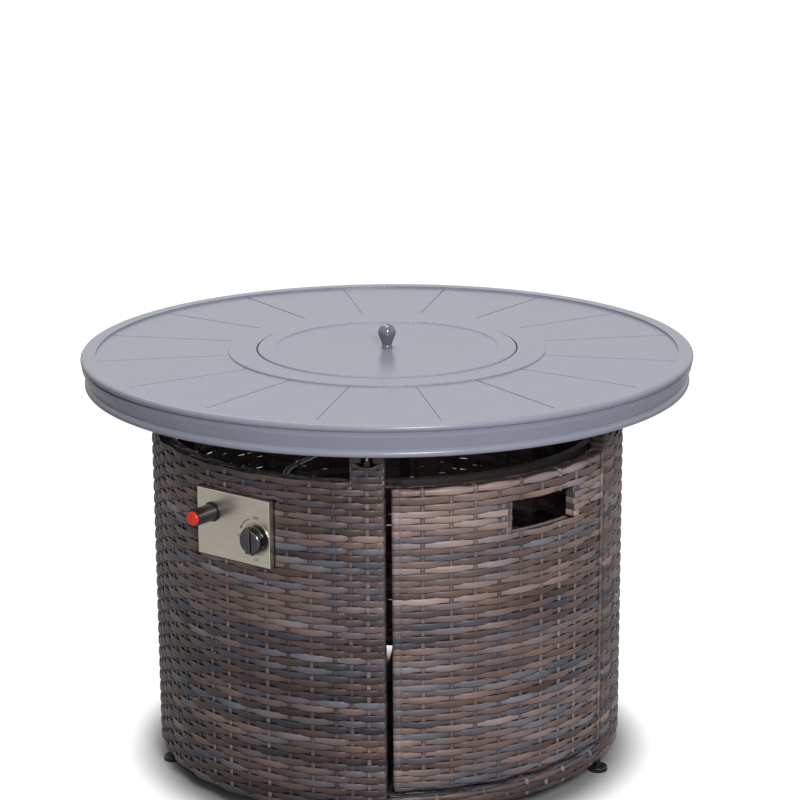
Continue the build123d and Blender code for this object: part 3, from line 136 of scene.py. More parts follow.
@dataclass(frozen=True)
class Finish:
    """A finish that one real surface of the table has.

    Args:
        name: the material's name.
        slot: the name of a material slot; not used.
        colour: the colour as sRGB hex.
        roughness: how far the gloss is spread.
        metallic: one for bare metal.
        specular: the strength of the gloss of a coating or a plastic.
        tint: the shares of the colour's light at the pattern's dark and light ends.
        ends: where on the pattern those ends lie.
        depth: how deep its relief is.
    """

    name: str
    slot: str
    colour: str
    roughness: float
    metallic: float = 0.0
    specular: float = field(default=0.5, kw_only=True)
    tint: Pair = field(default=(1.0, 1.0), kw_only=True)
    ends: Pair = field(default=(0.3, 0.7), kw_only=True)
    depth: float = field(default=0.0, kw_only=True)

    def patterns(self, tree: bpy.types.NodeTree, place: Socket) -> tuple[Socket, Socket | None]:
        """The pattern of the colour and the gloss, and the relief's pattern if it has one."""
        raise NotImplementedError

    def spread(self) -> Pair | None:
        """The roughness at the pattern's two ends, or none where it is even."""
        return None

    def paint(self, tree: bpy.types.NodeTree, pattern: Socket) -> Socket:
        """Takes the colour from a darker to a lighter share of it.

        Args:
            tree: the material's node tree.
            pattern: a value from zero to one.

        Returns:
            The colour's socket.
        """
        base = linear(self.colour)[:3]
        colours = [tuple(min(1.0, part * share) for part in base) + (1.0,) for share in self.tint]
        stops = tuple(zip(self.ends, colours))
        return add_node(tree, "ShaderNodeValToRGB", {"stops": stops}, {"Fac": pattern}).outputs["Color"]

    def make(self) -> bpy.types.Material:
        """Makes the material: its colour, gloss and relief, each from its pattern.

        Returns:
            The finished material.
        """
        made = bpy.data.materials.new(self.name)
        made.use_nodes = True
        tree = made.node_tree
        inputs = tree.nodes["Principled BSDF"].inputs
        inputs["Base Color"].default_value = linear(self.colour)
        inputs["Roughness"].default_value = self.roughness
        inputs["Metallic"].default_value = self.metallic
        inputs["Specular IOR Level"].default_value = self.specular
        place = add_node(tree, "ShaderNodeTexCoord").outputs["Object"]
        pattern, relief = self.patterns(tree, place)
        tree.links.new(self.paint(tree, pattern), inputs["Base Color"])
        spread = self.spread()
        if spread is not None:
            ends = {"To Min": spread[0], "To Max": spread[1]}
            gloss = add_node(tree, "ShaderNodeMapRange", ends, {"Value": pattern})
            tree.links.new(gloss.outputs["Result"], inputs["Roughness"])
        if relief is not None:
            size = {"Strength": 1.0, "Distance": self.depth * MM}
            bump = add_node(tree, "ShaderNodeBump", size, {"Height": relief})
            tree.links.new(bump.outputs["Normal"], inputs["Normal"])
        return made


@dataclass(frozen=True, kw_only=True)
class PowderCoat(Finish):
    """Polyester powder, sprayed and baked on aluminium: an even satin film with a fine orange peel.

    The peel's grain is about a millimetre, and faint clouds come from hands and dust.
    """

    tint: Pair = (0.975, 1.02)
    depth: float = 0.004
    peel: float = 1.3
    cloud: float = 70.0
    uneven: float = 0.02

    def patterns(self, tree: bpy.types.NodeTree, place: Socket) -> tuple[Socket, Socket | None]:
        """The clouds, and the peel's relief.

        Args:
            tree: the material's node tree.
            place: the piece's own places.

        Returns:
            The clouds for the colour and the gloss, and the peel for the relief.
        """
        cloud, peel = (
            add_node(
                tree,
                "ShaderNodeTexNoise",
                {"Scale": per_metre(size), "Detail": detail},
                {"Vector": place},
            ).outputs["Fac"]
            for size, detail in ((self.cloud, 5.0), (self.peel, 2.0))
        )
        return cloud, peel

    def spread(self) -> Pair | None:
        """The clouds change the gloss a little."""
        return (self.roughness - self.uneven, self.roughness + self.uneven)


@dataclass(frozen=True, kw_only=True)
class WovenResin(Finish):
    """Polyethylene strand, extruded flat in mixed browns and greys and woven: a waxy half gloss.

    Fine ribs run along each strand from the die. The mesh gives each point its strand's tone and
    hue, and its place along and across the strand.
    """

    depth: float = 0.10
    warm: tuple[str, ...] = ("#251B19", "#4C3C38", "#745F5A", "#A8918B")
    cool: tuple[str, ...] = ("#202128", "#3F414D", "#66676F", "#9294A2")
    tones: tuple[float, ...] = (0.0, 0.35, 0.65, 1.0)
    rib: float = 0.9
    rib_length: float = 45.0
    streak: float = 0.13

    def patterns(self, tree: bpy.types.NodeTree, place: Socket) -> tuple[Socket, Socket | None]:
        """The ribs, drawn long along each strand.

        Args:
            tree: the material's node tree.
            place: the piece's own places, which the strands' own take over from.

        Returns:
            The ribs, for the colour and for the relief.
        """
        run = add_node(tree, "ShaderNodeAttribute", {"attribute_name": "run"}).outputs["Vector"]
        scale = (per_metre(self.rib_length), per_metre(self.rib), 1.0)
        along = add_node(tree, "ShaderNodeMapping", {"Scale": scale}, {"Vector": run}).outputs["Vector"]
        ribs = add_node(tree, "ShaderNodeTexNoise", {"Scale": 1.0, "Detail": 3.0}, {"Vector": along})
        return ribs.outputs["Fac"], ribs.outputs["Fac"]

    def paint(self, tree: bpy.types.NodeTree, pattern: Socket) -> Socket:
        """Colours each strand from its tone and hue, with streaks along its ribs.

        Args:
            tree: the material's node tree.
            pattern: the ribs.

        Returns:
            The colour's socket.
        """
        strand = add_node(tree, "ShaderNodeAttribute", {"attribute_name": "strand"}).outputs["Color"]
        parts = add_node(tree, "ShaderNodeSeparateColor", {}, {"Color": strand}).outputs
        ends = {"To Min": -self.streak, "To Max": self.streak}
        streak = add_node(tree, "ShaderNodeMapRange", ends, {"Value": pattern}).outputs["Result"]
        summed = {"operation": "ADD", "use_clamp": True}
        tone = add_node(tree, "ShaderNodeMath", summed, {0: parts["Red"], 1: streak}).outputs["Value"]
        warm, cool = (
            add_node(
                tree,
                "ShaderNodeValToRGB",
                {"stops": tuple((where, linear(code)) for where, code in zip(self.tones, codes))},
                {"Fac": tone},
            ).outputs["Color"]
            for codes in (self.warm, self.cool)
        )
        sources = {0: parts["Green"], 6: warm, 7: cool}
        return add_node(tree, "ShaderNodeMix", {"data_type": "RGBA"}, sources).outputs[2]


@dataclass(frozen=True, kw_only=True)
class BrushedSteel(Finish):
    """Stainless sheet, ground along one way with an abrasive belt: long fine scratches, a spread gloss.

    The scratches are drawn about half a millimetre apart, coarser than real ones, so that they show.
    """

    tint: Pair = (0.84, 1.1)
    depth: float = 0.01
    scratch: float = 0.5
    scratch_length: float = 40.0
    turn: float = 0.0

    def patterns(self, tree: bpy.types.NodeTree, place: Socket) -> tuple[Socket, Socket | None]:
        """The scratches, drawn long the way the sheet was ground.

        Args:
            tree: the material's node tree.
            place: the piece's own places.

        Returns:
            The scratches, for the colour and for the relief.
        """
        scratch = per_metre(self.scratch)
        for change in (
            {"Rotation": (0.0, 0.0, math.radians(-self.turn))},
            {"Scale": (per_metre(self.scratch_length), scratch, scratch)},
        ):
            place = add_node(tree, "ShaderNodeMapping", change, {"Vector": place}).outputs["Vector"]
        marks = add_node(tree, "ShaderNodeTexNoise", {"Scale": 1.0, "Detail": 4.0}, {"Vector": place})
        return marks.outputs["Fac"], marks.outputs["Fac"]

    def spread(self) -> Pair | None:
        """The scratches change the gloss."""
        return (self.roughness - 0.08, self.roughness + 0.1)


@dataclass(frozen=True, kw_only=True)
class PlatedMetal(Finish):
    """A thin plated or drawn metal surface: smooth, with faint patches where the film is thinner."""

    tint: Pair = (0.88, 1.12)
    patch: float = 6.0

    def patterns(self, tree: bpy.types.NodeTree, place: Socket) -> tuple[Socket, Socket | None]:
        """The patches."""
        scale = {"Scale": per_metre(self.patch), "Detail": 6.0}
        return add_node(tree, "ShaderNodeTexNoise", scale, {"Vector": place}).outputs["Fac"], None

    def spread(self) -> Pair | None:
        """The patches change the gloss."""
        return (self.roughness * 0.8, self.roughness * 1.3)


@dataclass(frozen=True, kw_only=True)
class MouldedPolymer(Finish):
    """ABS or rubber from a steel mould that was spark-eroded: a fine even grain."""

    tint: Pair = (0.88, 1.12)
    depth: float = 0.02
    grain: float = 0.6

    def patterns(self, tree: bpy.types.NodeTree, place: Socket) -> tuple[Socket, Socket | None]:
        """The grain, which also makes the colour a little uneven.

        Args:
            tree: the material's node tree.
            place: the piece's own places.

        Returns:
            The grain, for the colour and for the relief.
        """
        scale = {"Scale": per_metre(self.grain), "Detail": 2.0}
        grain = add_node(tree, "ShaderNodeTexNoise", scale, {"Vector": place}).outputs["Fac"]
        return grain, grain


@dataclass(frozen=True, kw_only=True)
class LavaStone(Finish):
    """Broken volcanic rock: red-black, matt, full of pores from one to a few millimetres."""

    depth: float = 1.6
    pore: float = 3.2
    rust: float = 14.0
    dark: str = "#2B2423"
    rusty: str = "#6A4336"
    tones: Triple = (0.35, 0.55, 0.75)

    def patterns(self, tree: bpy.types.NodeTree, place: Socket) -> tuple[Socket, Socket | None]:
        """The rusty patches and the pores.

        Args:
            tree: the material's node tree.
            place: the piece's own places.

        Returns:
            The patches for the colour, and the pores for the relief.
        """
        scale = {"Scale": per_metre(self.rust), "Detail": 6.0}
        rust = add_node(tree, "ShaderNodeTexNoise", scale, {"Vector": place})
        pores = add_node(tree, "ShaderNodeTexVoronoi", {"Scale": per_metre(self.pore)}, {"Vector": place})
        return rust.outputs["Fac"], pores.outputs["Distance"]

    def paint(self, tree: bpy.types.NodeTree, pattern: Socket) -> Socket:
        """Takes the colour from dark over its own to a rusty one.

        Args:
            tree: the material's node tree.
            pattern: the rusty patches.

        Returns:
            The colour's socket.
        """
        colours = (linear(code) for code in (self.dark, self.colour, self.rusty))
        stops = tuple(zip(self.tones, colours))
        return add_node(tree, "ShaderNodeValToRGB", {"stops": stops}, {"Fac": pattern}).outputs["Color"]


class FinishName(Enum):
    """Every finish on the table."""

    SLATE = PowderCoat("slate_powder_coat", "top_paint", "#888B99", 0.27, specular=0.42)
    GLOSS_SLATE = PowderCoat("gloss_slate_enamel", "top_paint", "#5F626D", 0.11, specular=0.8)
    FRAME = PowderCoat("dark_brown_powder_coat", "frame_paint", "#2C2523", 0.45)
    WICKER = WovenResin("woven_resin_strand", "wicker", "#5A4B46", 0.42, specular=0.45)
    PLATE = BrushedSteel(
        "brushed_stainless_plate", "stainless", "#D2CBBE", 0.30, 1.0, turn=PLATE_ANGLE
    )
    STAINLESS = BrushedSteel("rolled_stainless", "stainless", "#B2AEA8", 0.32, 1.0, scratch=1.0)
    ZINC = PlatedMetal("zinc_plated_steel", "zinc_steel", "#C4C4C2", 0.28, 1.0)
    BLACK_ZINC = PlatedMetal("black_zinc_plated_steel", "zinc_steel", "#3A3938", 0.34, 1.0)
    CHROME = PlatedMetal("black_chrome_plate", "dark_chrome", "#5A585B", 0.15, 1.0, tint=(0.95, 1.05))
    BRASS = PlatedMetal("turned_brass", "brass", "#B99A5B", 0.27, 1.0)
    TUBE = PlatedMetal("drawn_aluminium_tube", "tube_aluminium", "#B9BABB", 0.30, 1.0)
    BLACK = MouldedPolymer("black_moulded_abs", "black_plastic", "#17171B", 0.38)
    RED = MouldedPolymer("red_moulded_abs", "red_plastic", "#E0301E", 0.30)
    RUBBER = MouldedPolymer("black_moulded_rubber", "black_rubber", "#1C1C1D", 0.62)
    CERAMIC = MouldedPolymer("glazed_alumina", "ceramic", "#DDDAD0", 0.18, depth=0.004)
    STONE = LavaStone("lava_rock", "lava_stone", "#453330", 0.92)


@cache
def material(finish: FinishName) -> bpy.types.Material:
    """A finish's material, made the first time that it is asked for."""
    return finish.value.make()


# Meshes


@dataclass(frozen=True)
class Extent:
    """Where a CAD node lies round the table's axis, as pairs of lowest and highest values."""

    radii: Pair
    angles: Pair
    levels: Pair


def extent(node: str, middle: float = 0.0) -> Extent:
    """Measures a CAD node round the axis.

    Args:
        node: the node's name.
        middle: an angle that the node lies near to.

    Returns:
        Its radii, angles and levels.
    """
    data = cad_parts[node].data
    places = np.empty(len(data.vertices) * 3)
    data.vertices.foreach_get("co", places)
    x, y, z = (places.reshape(-1, 3) / MM).T
    angle = (np.degrees(np.arctan2(x, -y)) - middle + 180) % 360 - 180 + middle
    return Extent(*((part.min(), part.max()) for part in (np.hypot(x, y), angle, z)))


def polar(radius: float | np.ndarray, angle: float | np.ndarray) -> np.ndarray:
    """Plan points from radii and angles from the front."""
    a = np.radians(angle)
    return np.stack(np.broadcast_arrays(radius * np.sin(a), -radius * np.cos(a)), -1)


def turned_plan(across: float, distance: float, angle: float) -> Pair:
    """A plan point in the direction of an angle.

    Args:
        across: how far it lies to the side of that direction.
        distance: how far it lies from the axis.
        angle: the direction.

    Returns:
        The point's two coordinates.
    """
    a = math.radians(angle)
    return (
        distance * math.sin(a) + across * math.cos(a),
        -distance * math.cos(a) + across * math.sin(a),
    )


def add_object(name: str, data: bpy.types.ID) -> bpy.types.Object:
    """Adds an object to the scene.

    Args:
        name: its name.
        data: its mesh, its light or its camera.

    Returns:
        The new object.
    """
    made = bpy.data.objects.new(name, data)
    bpy.context.scene.collection.objects.link(made)
    return made


def mesh_object(
    name: str, points: np.ndarray, faces: Sequence[np.ndarray], finish: FinishName
) -> bpy.types.Object:
    """Makes a smooth object from points and faces.

    Args:
        name: the object's name.
        points: the vertices in millimetres.
        faces: groups of faces, each an array with a row for a face.
        finish: its finish.

    Returns:
        The new object.
    """
    mesh = bpy.data.meshes.new(name)
    mesh.vertices.add(len(points))
    mesh.vertices.foreach_set("co", (points * MM).astype(np.float32).ravel())
    loops = np.concatenate([group.ravel() for group in faces])
    sizes = np.concatenate([np.full(len(group), group.shape[1]) for group in faces])
    mesh.loops.add(len(loops))
    mesh.loops.foreach_set("vertex_index", loops.astype(np.int32))
    mesh.polygons.add(len(sizes))
    mesh.polygons.foreach_set("loop_start", (np.cumsum(sizes) - sizes).astype(np.int32))
    mesh.polygons.foreach_set("use_smooth", np.full(len(sizes), True))
    mesh.update(calc_edges=True)
    mesh.validate()
    mesh.materials.append(material(finish))
    return add_object(name, mesh)


def strip_faces(steps: int, ring: int, start: int) -> tuple[np.ndarray, np.ndarray]:
    """The faces of a rod of rings of points.

    Args:
        steps: the number of rings.
        ring: the points in each.
        start: the number of the first point.

    Returns:
        The side faces and the two end faces.
    """
    index = start + np.arange(steps * ring).reshape(steps, ring)
    near, far = index[:-1], index[1:]
    quads = np.stack([near, far, np.roll(far, -1, axis=1), np.roll(near, -1, axis=1)], -1)
    return quads.reshape(-1, 4), np.stack([index[0], index[-1, ::-1]])


class RoundedPath:
    """A flat path of straight runs with rounded corners, read by its length."""

    SHARP = math.radians(20)
    ARC_POINTS = 9

    def __init__(self, corners: Sequence[Pair], radius: float) -> None:
        """Lays the path out.

        Args:
            corners: its points in order.
            radius: the rounding of the corners between the two ends; a blunt one stays a point.
        """
        places = [np.array(corner, float) for corner in corners]
        points = [places[0]]
        for before, place, after in zip(places, places[1:], places[2:]):
            back = (before - place) / np.linalg.norm(before - place)
            ahead = (after - place) / np.linalg.norm(after - place)
            half = math.acos(float(np.clip(back @ ahead, -1, 1))) / 2
            turn = math.pi - 2 * half
            if turn < self.SHARP:
                points.append(place)
                continue
            centre = place + (back + ahead) / np.linalg.norm(back + ahead) * radius / math.sin(half)
            first = place + back * radius / math.tan(half) - centre
            sign = math.copysign(1.0, float(back[1] * ahead[0] - back[0] * ahead[1]))
            for a in sign * turn * np.linspace(0, 1, self.ARC_POINTS):
                rotation = np.array([[math.cos(a), -math.sin(a)], [math.sin(a), math.cos(a)]])
                points.append(centre + rotation @ first)
        self.points = np.array([*points, places[-1]])
        steps = np.diff(self.points, axis=0)
        sizes = np.linalg.norm(steps, axis=1)
        self.lengths = np.concatenate([[0.0], np.cumsum(sizes)])
        self.tangents = steps / sizes[:, None]
        joined = np.vstack([self.tangents[:1], self.tangents[:-1] + self.tangents[1:], self.tangents[-1:]])
        joined /= np.linalg.norm(joined, axis=1)[:, None]
        self.normals = np.stack([joined[:, 1], -joined[:, 0]], -1)

    @property
    def length(self) -> float:
        """The path's whole length."""
        return float(self.lengths[-1])

    def at(self, along: np.ndarray, lift: np.ndarray) -> tuple[np.ndarray, np.ndarray]:
        """Reads points beside the path, which runs on straight past its ends.

        Args:
            along: lengths from the path's start.
            lift: how far each point stands off the path, to its outer side.

        Returns:
            The two coordinates of each point.
        """
        past = np.clip(along - self.length, 0, None)
        before = np.clip(-along, 0, None)
        found = []
        for axis in (0, 1):
            place, normal = (
                np.interp(along.ravel(), self.lengths, values[:, axis]).reshape(along.shape)
                for values in (self.points, self.normals)
            )
            ends = past * self.tangents[-1, axis] - before * self.tangents[0, axis]
            found.append(place + lift * normal + ends)
        return found[0], found[1]

    def outer_run(self) -> tuple[np.ndarray, np.ndarray]:
        """The lengths and levels of the points on a section's outermost run."""
        outer = self.points[:, 0] > self.points[:, 0].max() - 0.01
        return self.lengths[outer], self.points[outer, 1]


def wrapped_section(radii: Pair, levels: Pair, reach: float, corner: float) -> RoundedPath:
    """The section of a wall whose two edges are wrapped round to its inner side.

    Args:
        radii: its inner and outer radius.
        levels: its bottom and top.
        reach: how far the edges come round.
        corner: the rounding.

    Returns:
        The section, from the lower edge to the upper one.
    """
    (inner, outer), (low, high) = radii, levels
    corners = ((inner, low + reach), (inner, low), (outer, low), (outer, high), (inner, high))
    return RoundedPath((*corners, (inner, high - reach)), corner)


@dataclass(frozen=True)
class PlanSheet:
    """An upright surface over a path in plan. Along is the path's length, and across is the level.

    Args:
        path: the path.
        angle: the angle round the table at the origin, from which a strand's colours are read.
        origin: a place along.
        per_degree: how far along that angle grows by a degree; endless if it stays the same.
    """

    path: RoundedPath
    angle: float = 0.0
    origin: float = 0.0
    per_degree: float = math.inf

    def turn(self, along: float | np.ndarray) -> float | np.ndarray:
        """The angle round the table at places along."""
        return self.angle + (along - self.origin) / self.per_degree

    def place(self, along: np.ndarray, across: np.ndarray, lift: np.ndarray) -> np.ndarray:
        """The points at those places along, across and off the surface."""
        x, y = self.path.at(along, lift)
        return np.stack([x, y, np.broadcast_to(across, x.shape)], -1)

    def spread(self, width: float) -> float:
        """A width in millimetres as a step along."""
        return width


@dataclass(frozen=True)
class RingSheet(PlanSheet):
    """A surface turned about the axis from its path. Along is the angle, across the path's length."""

    per_degree: float = 1.0
    radius: float = field(kw_only=True)

    def place(self, along: np.ndarray, across: np.ndarray, lift: np.ndarray) -> np.ndarray:
        """The points at those places along, across and off the surface."""
        radius, level = self.path.at(across, lift)
        return np.concatenate([polar(radius, along), level[..., None]], -1)

    def spread(self, width: float) -> float:
        """A width in millimetres as a step along."""
        return math.degrees(width / self.radius)


# Weaving


@dataclass(frozen=True)
class Row:
    """One weft: its number in the weave, its middle across the sheet, its width and its lightness."""

    number: int
    middle: float
    width: float
    lightness: float = 0.0


def even_rows(
    first: int, count: int, start: float, pitch: float, width: float, lightness: float = 0.0, up: int = 1
) -> list[Row]:
    """Wefts side by side.

    Args:
        first: the first one's number.
        count: how many there are.
        start: the edge that they start from.
        pitch: from one to the next, less than zero if they go down.
        width: their width.
        lightness: how much lighter they are.
        up: one if the numbers grow, minus one if they fall.

    Returns:
        The wefts.
    """
    return [Row(first + up * k, start + pitch * (k + 0.5), width, lightness) for k in range(count)]


def cut_out(spans: Iterable[Pair], gap: Pair) -> list[Pair]:
    """Takes a gap out of some spans.

    Args:
        spans: pairs of start and end.
        gap: the start and end of the gap.

    Returns:
        What is left of the spans.
    """
    return [
        piece
        for start, end in spans
        for piece in ((start, min(end, gap[0])), (max(start, gap[1]), end))
        if piece[1] > piece[0]
    ]


@dataclass(frozen=True)
class Window:
    """A part of a sheet that the weave leaves open, as pairs along and across."""

    along: Pair
    across: Pair

    def shared(self, low: float, high: float) -> float:
        """How much of a strand between two places across lies in the window."""
        return min(high, self.across[1]) - max(low, self.across[0])


@dataclass(frozen=True)
class Reach:
    """The part of a sheet where the wefts swing; beside it they lie flat on their own ends.

    Args:
        start: where it starts.
        end: where it ends.
        ease: how far the swing takes to grow.
        sink: how far the flat ends lie to the inside.
    """

    start: float = -math.inf
    end: float = math.inf
    ease: float = 6.0
    sink: float = 0.0

    def share(self, along: np.ndarray) -> np.ndarray:
        """The share of the full swing at places along."""
        grown = np.clip((along - self.start) / self.ease, 0, 1)
        return grown * np.clip((self.end - along) / self.ease, 0, 1)


class StrandMesh:
    """Gathers strands, each a rod of rings of points with its paint, and makes one mesh of them."""

    RIB_SHIFT = 1.7

    def __init__(self, name: str) -> None:
        """Starts with no strand.

        Args:
            name: the name of the object that is made.
        """
        self.name = name
        self.strands: list[tuple[np.ndarray, ...]] = []
        self.count = 0

    def add(self, grid: np.ndarray, tone: np.ndarray, hue: np.ndarray, along: np.ndarray,
            across: np.ndarray) -> None:
        """Adds one strand.

        Args:
            grid: its points, by step and by place in the ring.
            tone: how light the strand is at each step, from zero to one.
            hue: how grey rather than brown it is at each step.
            along: each step's length from the strand's start.
            across: each ring point's place across the strand.
        """
        steps, ring = grid.shape[:2]
        paint = (tone[:, None], hue[:, None], 0.0, 1.0)
        run = (along[:, None] * MM, across[None, :] * MM, len(self.strands) * self.RIB_SHIFT)
        columns = [
            np.stack([np.broadcast_to(part, (steps, ring)) for part in parts], -1).reshape(steps * ring, -1)
            for parts in (paint, run)
        ]
        self.strands.append((grid.reshape(-1, 3), *columns, *strip_faces(steps, ring, self.count)))
        self.count += steps * ring

    def make(self) -> bpy.types.Object:
        """Makes the object.

        Returns:
            The object, with its paint in two attributes.
        """
        points, paint, run, sides, caps = (np.vstack(part) for part in zip(*self.strands))
        made = mesh_object(self.name, points, (sides, caps), FinishName.WICKER)
        for name, kind, key, values in (
            ("strand", "FLOAT_COLOR", "color", paint),
            ("run", "FLOAT_VECTOR", "vector", run),
        ):
            attribute = made.data.attributes.new(name, kind, "POINT")
            attribute.data.foreach_set(key, values.astype(np.float32).ravel())
        return made


# A weft passes in front of one stake and behind the next, and its neighbours do the opposite.
# The strand's section: a crowned outer face of five points and a flat back of two.
RING_ACROSS = np.array([-1.0, -0.70, 0.0, 0.70, 1.0, 0.82, -0.82])
RING_LIFT = np.array([-0.34, 0.44, 0.78, 0.44, -0.34, -0.50, -0.50])
SEEDS = 4096


@dataclass(frozen=True)
class Weave:
    """How flat strand is woven and how its colours run.

    Args:
        pitch: from one weft to the next.
        weft_width: a weft's width where it crosses a stake.
        waist: how much narrower a weft is between two stakes.
        swing: how far a weft stands off the middle surface at a stake.
        steepness: how fast it changes sides between stakes.
        stake_width: a stake's width.
        stake_lift: how far a stake gives way to the wefts.
        stake_thick: a stake's thickness as a share of a weft's.
        stake_turn: how many degrees of its colour a stake shows in a millimetre.
        stake_light: how much lighter the stakes are.
        steps: points of a weft from one stake to the next.
        past: how many stakes on, past the last one, their spacing is carried.
        window_gap: what is left beside a window.
        window_ease: how far beside a window a weft starts to give way.
        window_cut: the share of its width from which a weft ends at a window.
        wander: how a weft wanders off its line, as sizes and waves round the table.
        offset: how far a whole weft lies off its line.
        tones: the lowest and highest tone of a strand.
        greys: the share of strands that are brown, and the hues of brown and grey ones.
        waves: how a strand's tone changes, as waves round the table and sizes.
        hue_wave: how much its hue changes.
        seed: the seed of the colours and of the small unevenness.
        lightness: how much lighter all its strands are.
    """

    pitch: float = 9.45
    weft_width: float = 11.0
    waist: float = 0.04
    swing: float = 1.65
    steepness: float = 1.5
    stake_width: float = 6.5
    stake_lift: float = 0.25
    stake_thick: float = 0.8
    stake_turn: float = 40.0
    stake_light: float = 0.05
    steps: int = 8
    past: int = 40
    window_gap: float = 0.4
    window_ease: float = 10.0
    window_cut: float = 0.55
    wander: tuple[Pair, ...] = ((0.22, 23), (0.18, 37))
    offset: float = 0.15
    tones: Pair = (0.20, 0.68)
    greys: Triple = (0.8, 0.12, 0.75)
    waves: tuple[Pair, ...] = ((2, 0.06), (5, 0.08), (11, 0.08))
    hue_wave: float = 0.22
    seed: int = 7
    lightness: float = 0.05

    def colours(self, number: int, turn: np.ndarray, kind: int) -> tuple[np.ndarray, np.ndarray]:
        """The tone and hue of a strand, the same in each piece that it runs through.

        Args:
            number: the strand's number.
            turn: places along it as an angle in degrees.
            kind: a number for the kind of strand, so that wefts and stakes differ.

        Returns:
            Tones and hues from zero to one.
        """
        rng = np.random.default_rng([self.seed, kind, number % SEEDS])
        base, cool = rng.uniform(*self.tones), rng.random()
        brown, warm_hue, cool_hue = self.greys
        tone = np.full(turn.shape, base + self.lightness)
        hue = np.full(turn.shape, cool_hue if cool > brown else warm_hue)
        for waves, size in self.waves:
            tone = tone + size * np.sin(np.radians(turn) * waves + rng.uniform(0, 2 * math.pi))
            hue = hue + self.hue_wave * np.sin(np.radians(turn) * (waves + 1) + rng.uniform(0, 2 * math.pi))
        return np.clip(tone, 0, 1), np.clip(hue, 0, 1)

    def free_spans(self, row: Row, span: Pair, windows: Iterable[Window], margin: float) -> list[Pair]:
        """The stretches of a row that no window takes.

        Args:
            row: the weft.
            span: its start and end.
            windows: the windows.
            margin: what is left beside a window.

        Returns:
            Pairs of start and end.
        """
        spans = [span]
        for window in windows:
            shared = window.shared(row.middle - row.width / 2, row.middle + row.width / 2)
            if shared >= self.window_cut * row.width:
                spans = cut_out(spans, (window.along[0] - margin, window.along[1] + margin))
        return spans

    def squeezed(self, row: Row, along: np.ndarray, windows: Iterable[Window],
                 ease: float) -> tuple[np.ndarray, np.ndarray]:
        """A row's middle and width where a window takes a part of its width.

        Args:
            row: the weft.
            along: places along it.
            windows: the windows.
            ease: how far beside a window the row starts to give way.

        Returns:
            Middles and widths at those places.
        """
        low = np.full(along.shape, row.middle - row.width / 2)
        high = np.full(along.shape, row.middle + row.width / 2)
        for window in windows:
            shared = window.shared(low[0], high[0])
            if not 0 < shared < self.window_cut * row.width:
                continue
            beside = np.clip((window.along[0] - along) / ease, 0, 1)
            beside += np.clip((along - window.along[1]) / ease, 0, 1)
            share = 1 - np.clip(beside, 0, 1)
            if row.middle > sum(window.across) / 2:
                low = low + share * shared
            else:
                high = high - share * shared
        return (low + high) / 2, high - low

    def wefts(
        self,
        mesh: StrandMesh,
        sheet: PlanSheet,
        rows: Iterable[Row],
        stakes: np.ndarray,
        span: Pair,
        windows: Sequence[Window] = (),
        reach: Reach = Reach(),
        first: int = 0,
    ) -> None:
        """Weaves rows over and under the stakes.

        Args:
            mesh: what the strands are added to.
            sheet: the surface.
            rows: the wefts.
            stakes: the stakes' places along the sheet.
            span: where the rows start and end.
            windows: what stays open.
            reach: where the rows swing.
            first: the number of the first stake, which sets who passes in front.
        """
        numbers = first + np.arange(len(stakes), dtype=float)
        gap = np.diff(stakes) * self.past
        places = np.concatenate([[stakes[0] - gap[0]], stakes, [stakes[-1] + gap[-1]]])
        numbers = np.concatenate([[numbers[0] - self.past], numbers, [numbers[-1] + self.past]])
        margin = sheet.spread(self.window_gap)
        for row in rows:
            rng = np.random.default_rng([self.seed, 3, row.number % SEEDS])
            offsets = rng.uniform(-1, 1, 4)
            for start, end in self.free_spans(row, span, windows, margin):
                ends = np.interp([start, end], places, numbers)
                count = max(3, int(math.ceil(self.steps * (ends[1] - ends[0]))) + 1)
                order = np.linspace(ends[0], ends[1], count)
                along = np.interp(order, numbers, places)
                phase = np.pi * (order + row.number)
                side = np.tanh(self.steepness * np.cos(phase)) / math.tanh(self.steepness)
                share = reach.share(along)
                lift = self.swing * side * share - reach.sink * (1 - share)
                angle = sheet.turn(along)
                middle, width = self.squeezed(row, along, windows, sheet.spread(self.window_ease))
                middle = middle + self.offset * offsets[2]
                for (size, waves), offset in zip(self.wander, offsets):
                    middle = middle + size * np.sin(np.radians(angle) * waves + 3 * offset)
                width = width * (1 - self.waist * np.sin(phase) ** 2)
                across = 0.5 * width[:, None] * RING_ACROSS
                grid = sheet.place(
                    np.broadcast_to(along[:, None], across.shape),
                    middle[:, None] + across,
                    lift[:, None] + RING_LIFT,
                )
                tone, hue = self.colours(row.number, angle, 0)
                crown = np.linalg.norm(np.diff(grid[:, 2], axis=0), axis=1)
                length = np.concatenate([[0.0], np.cumsum(crown)])
                mesh.add(grid, tone + row.lightness, hue, length, RING_ACROSS * self.weft_width / 2)

    def lay_flat(self, mesh: StrandMesh, sheet: PlanSheet, rows: Sequence[Row], span: Pair) -> None:
        """Lays flat strands side by side, with no stakes between."""
        replace(self, swing=0.0).wefts(mesh, sheet, rows, np.linspace(*span, 4), span)

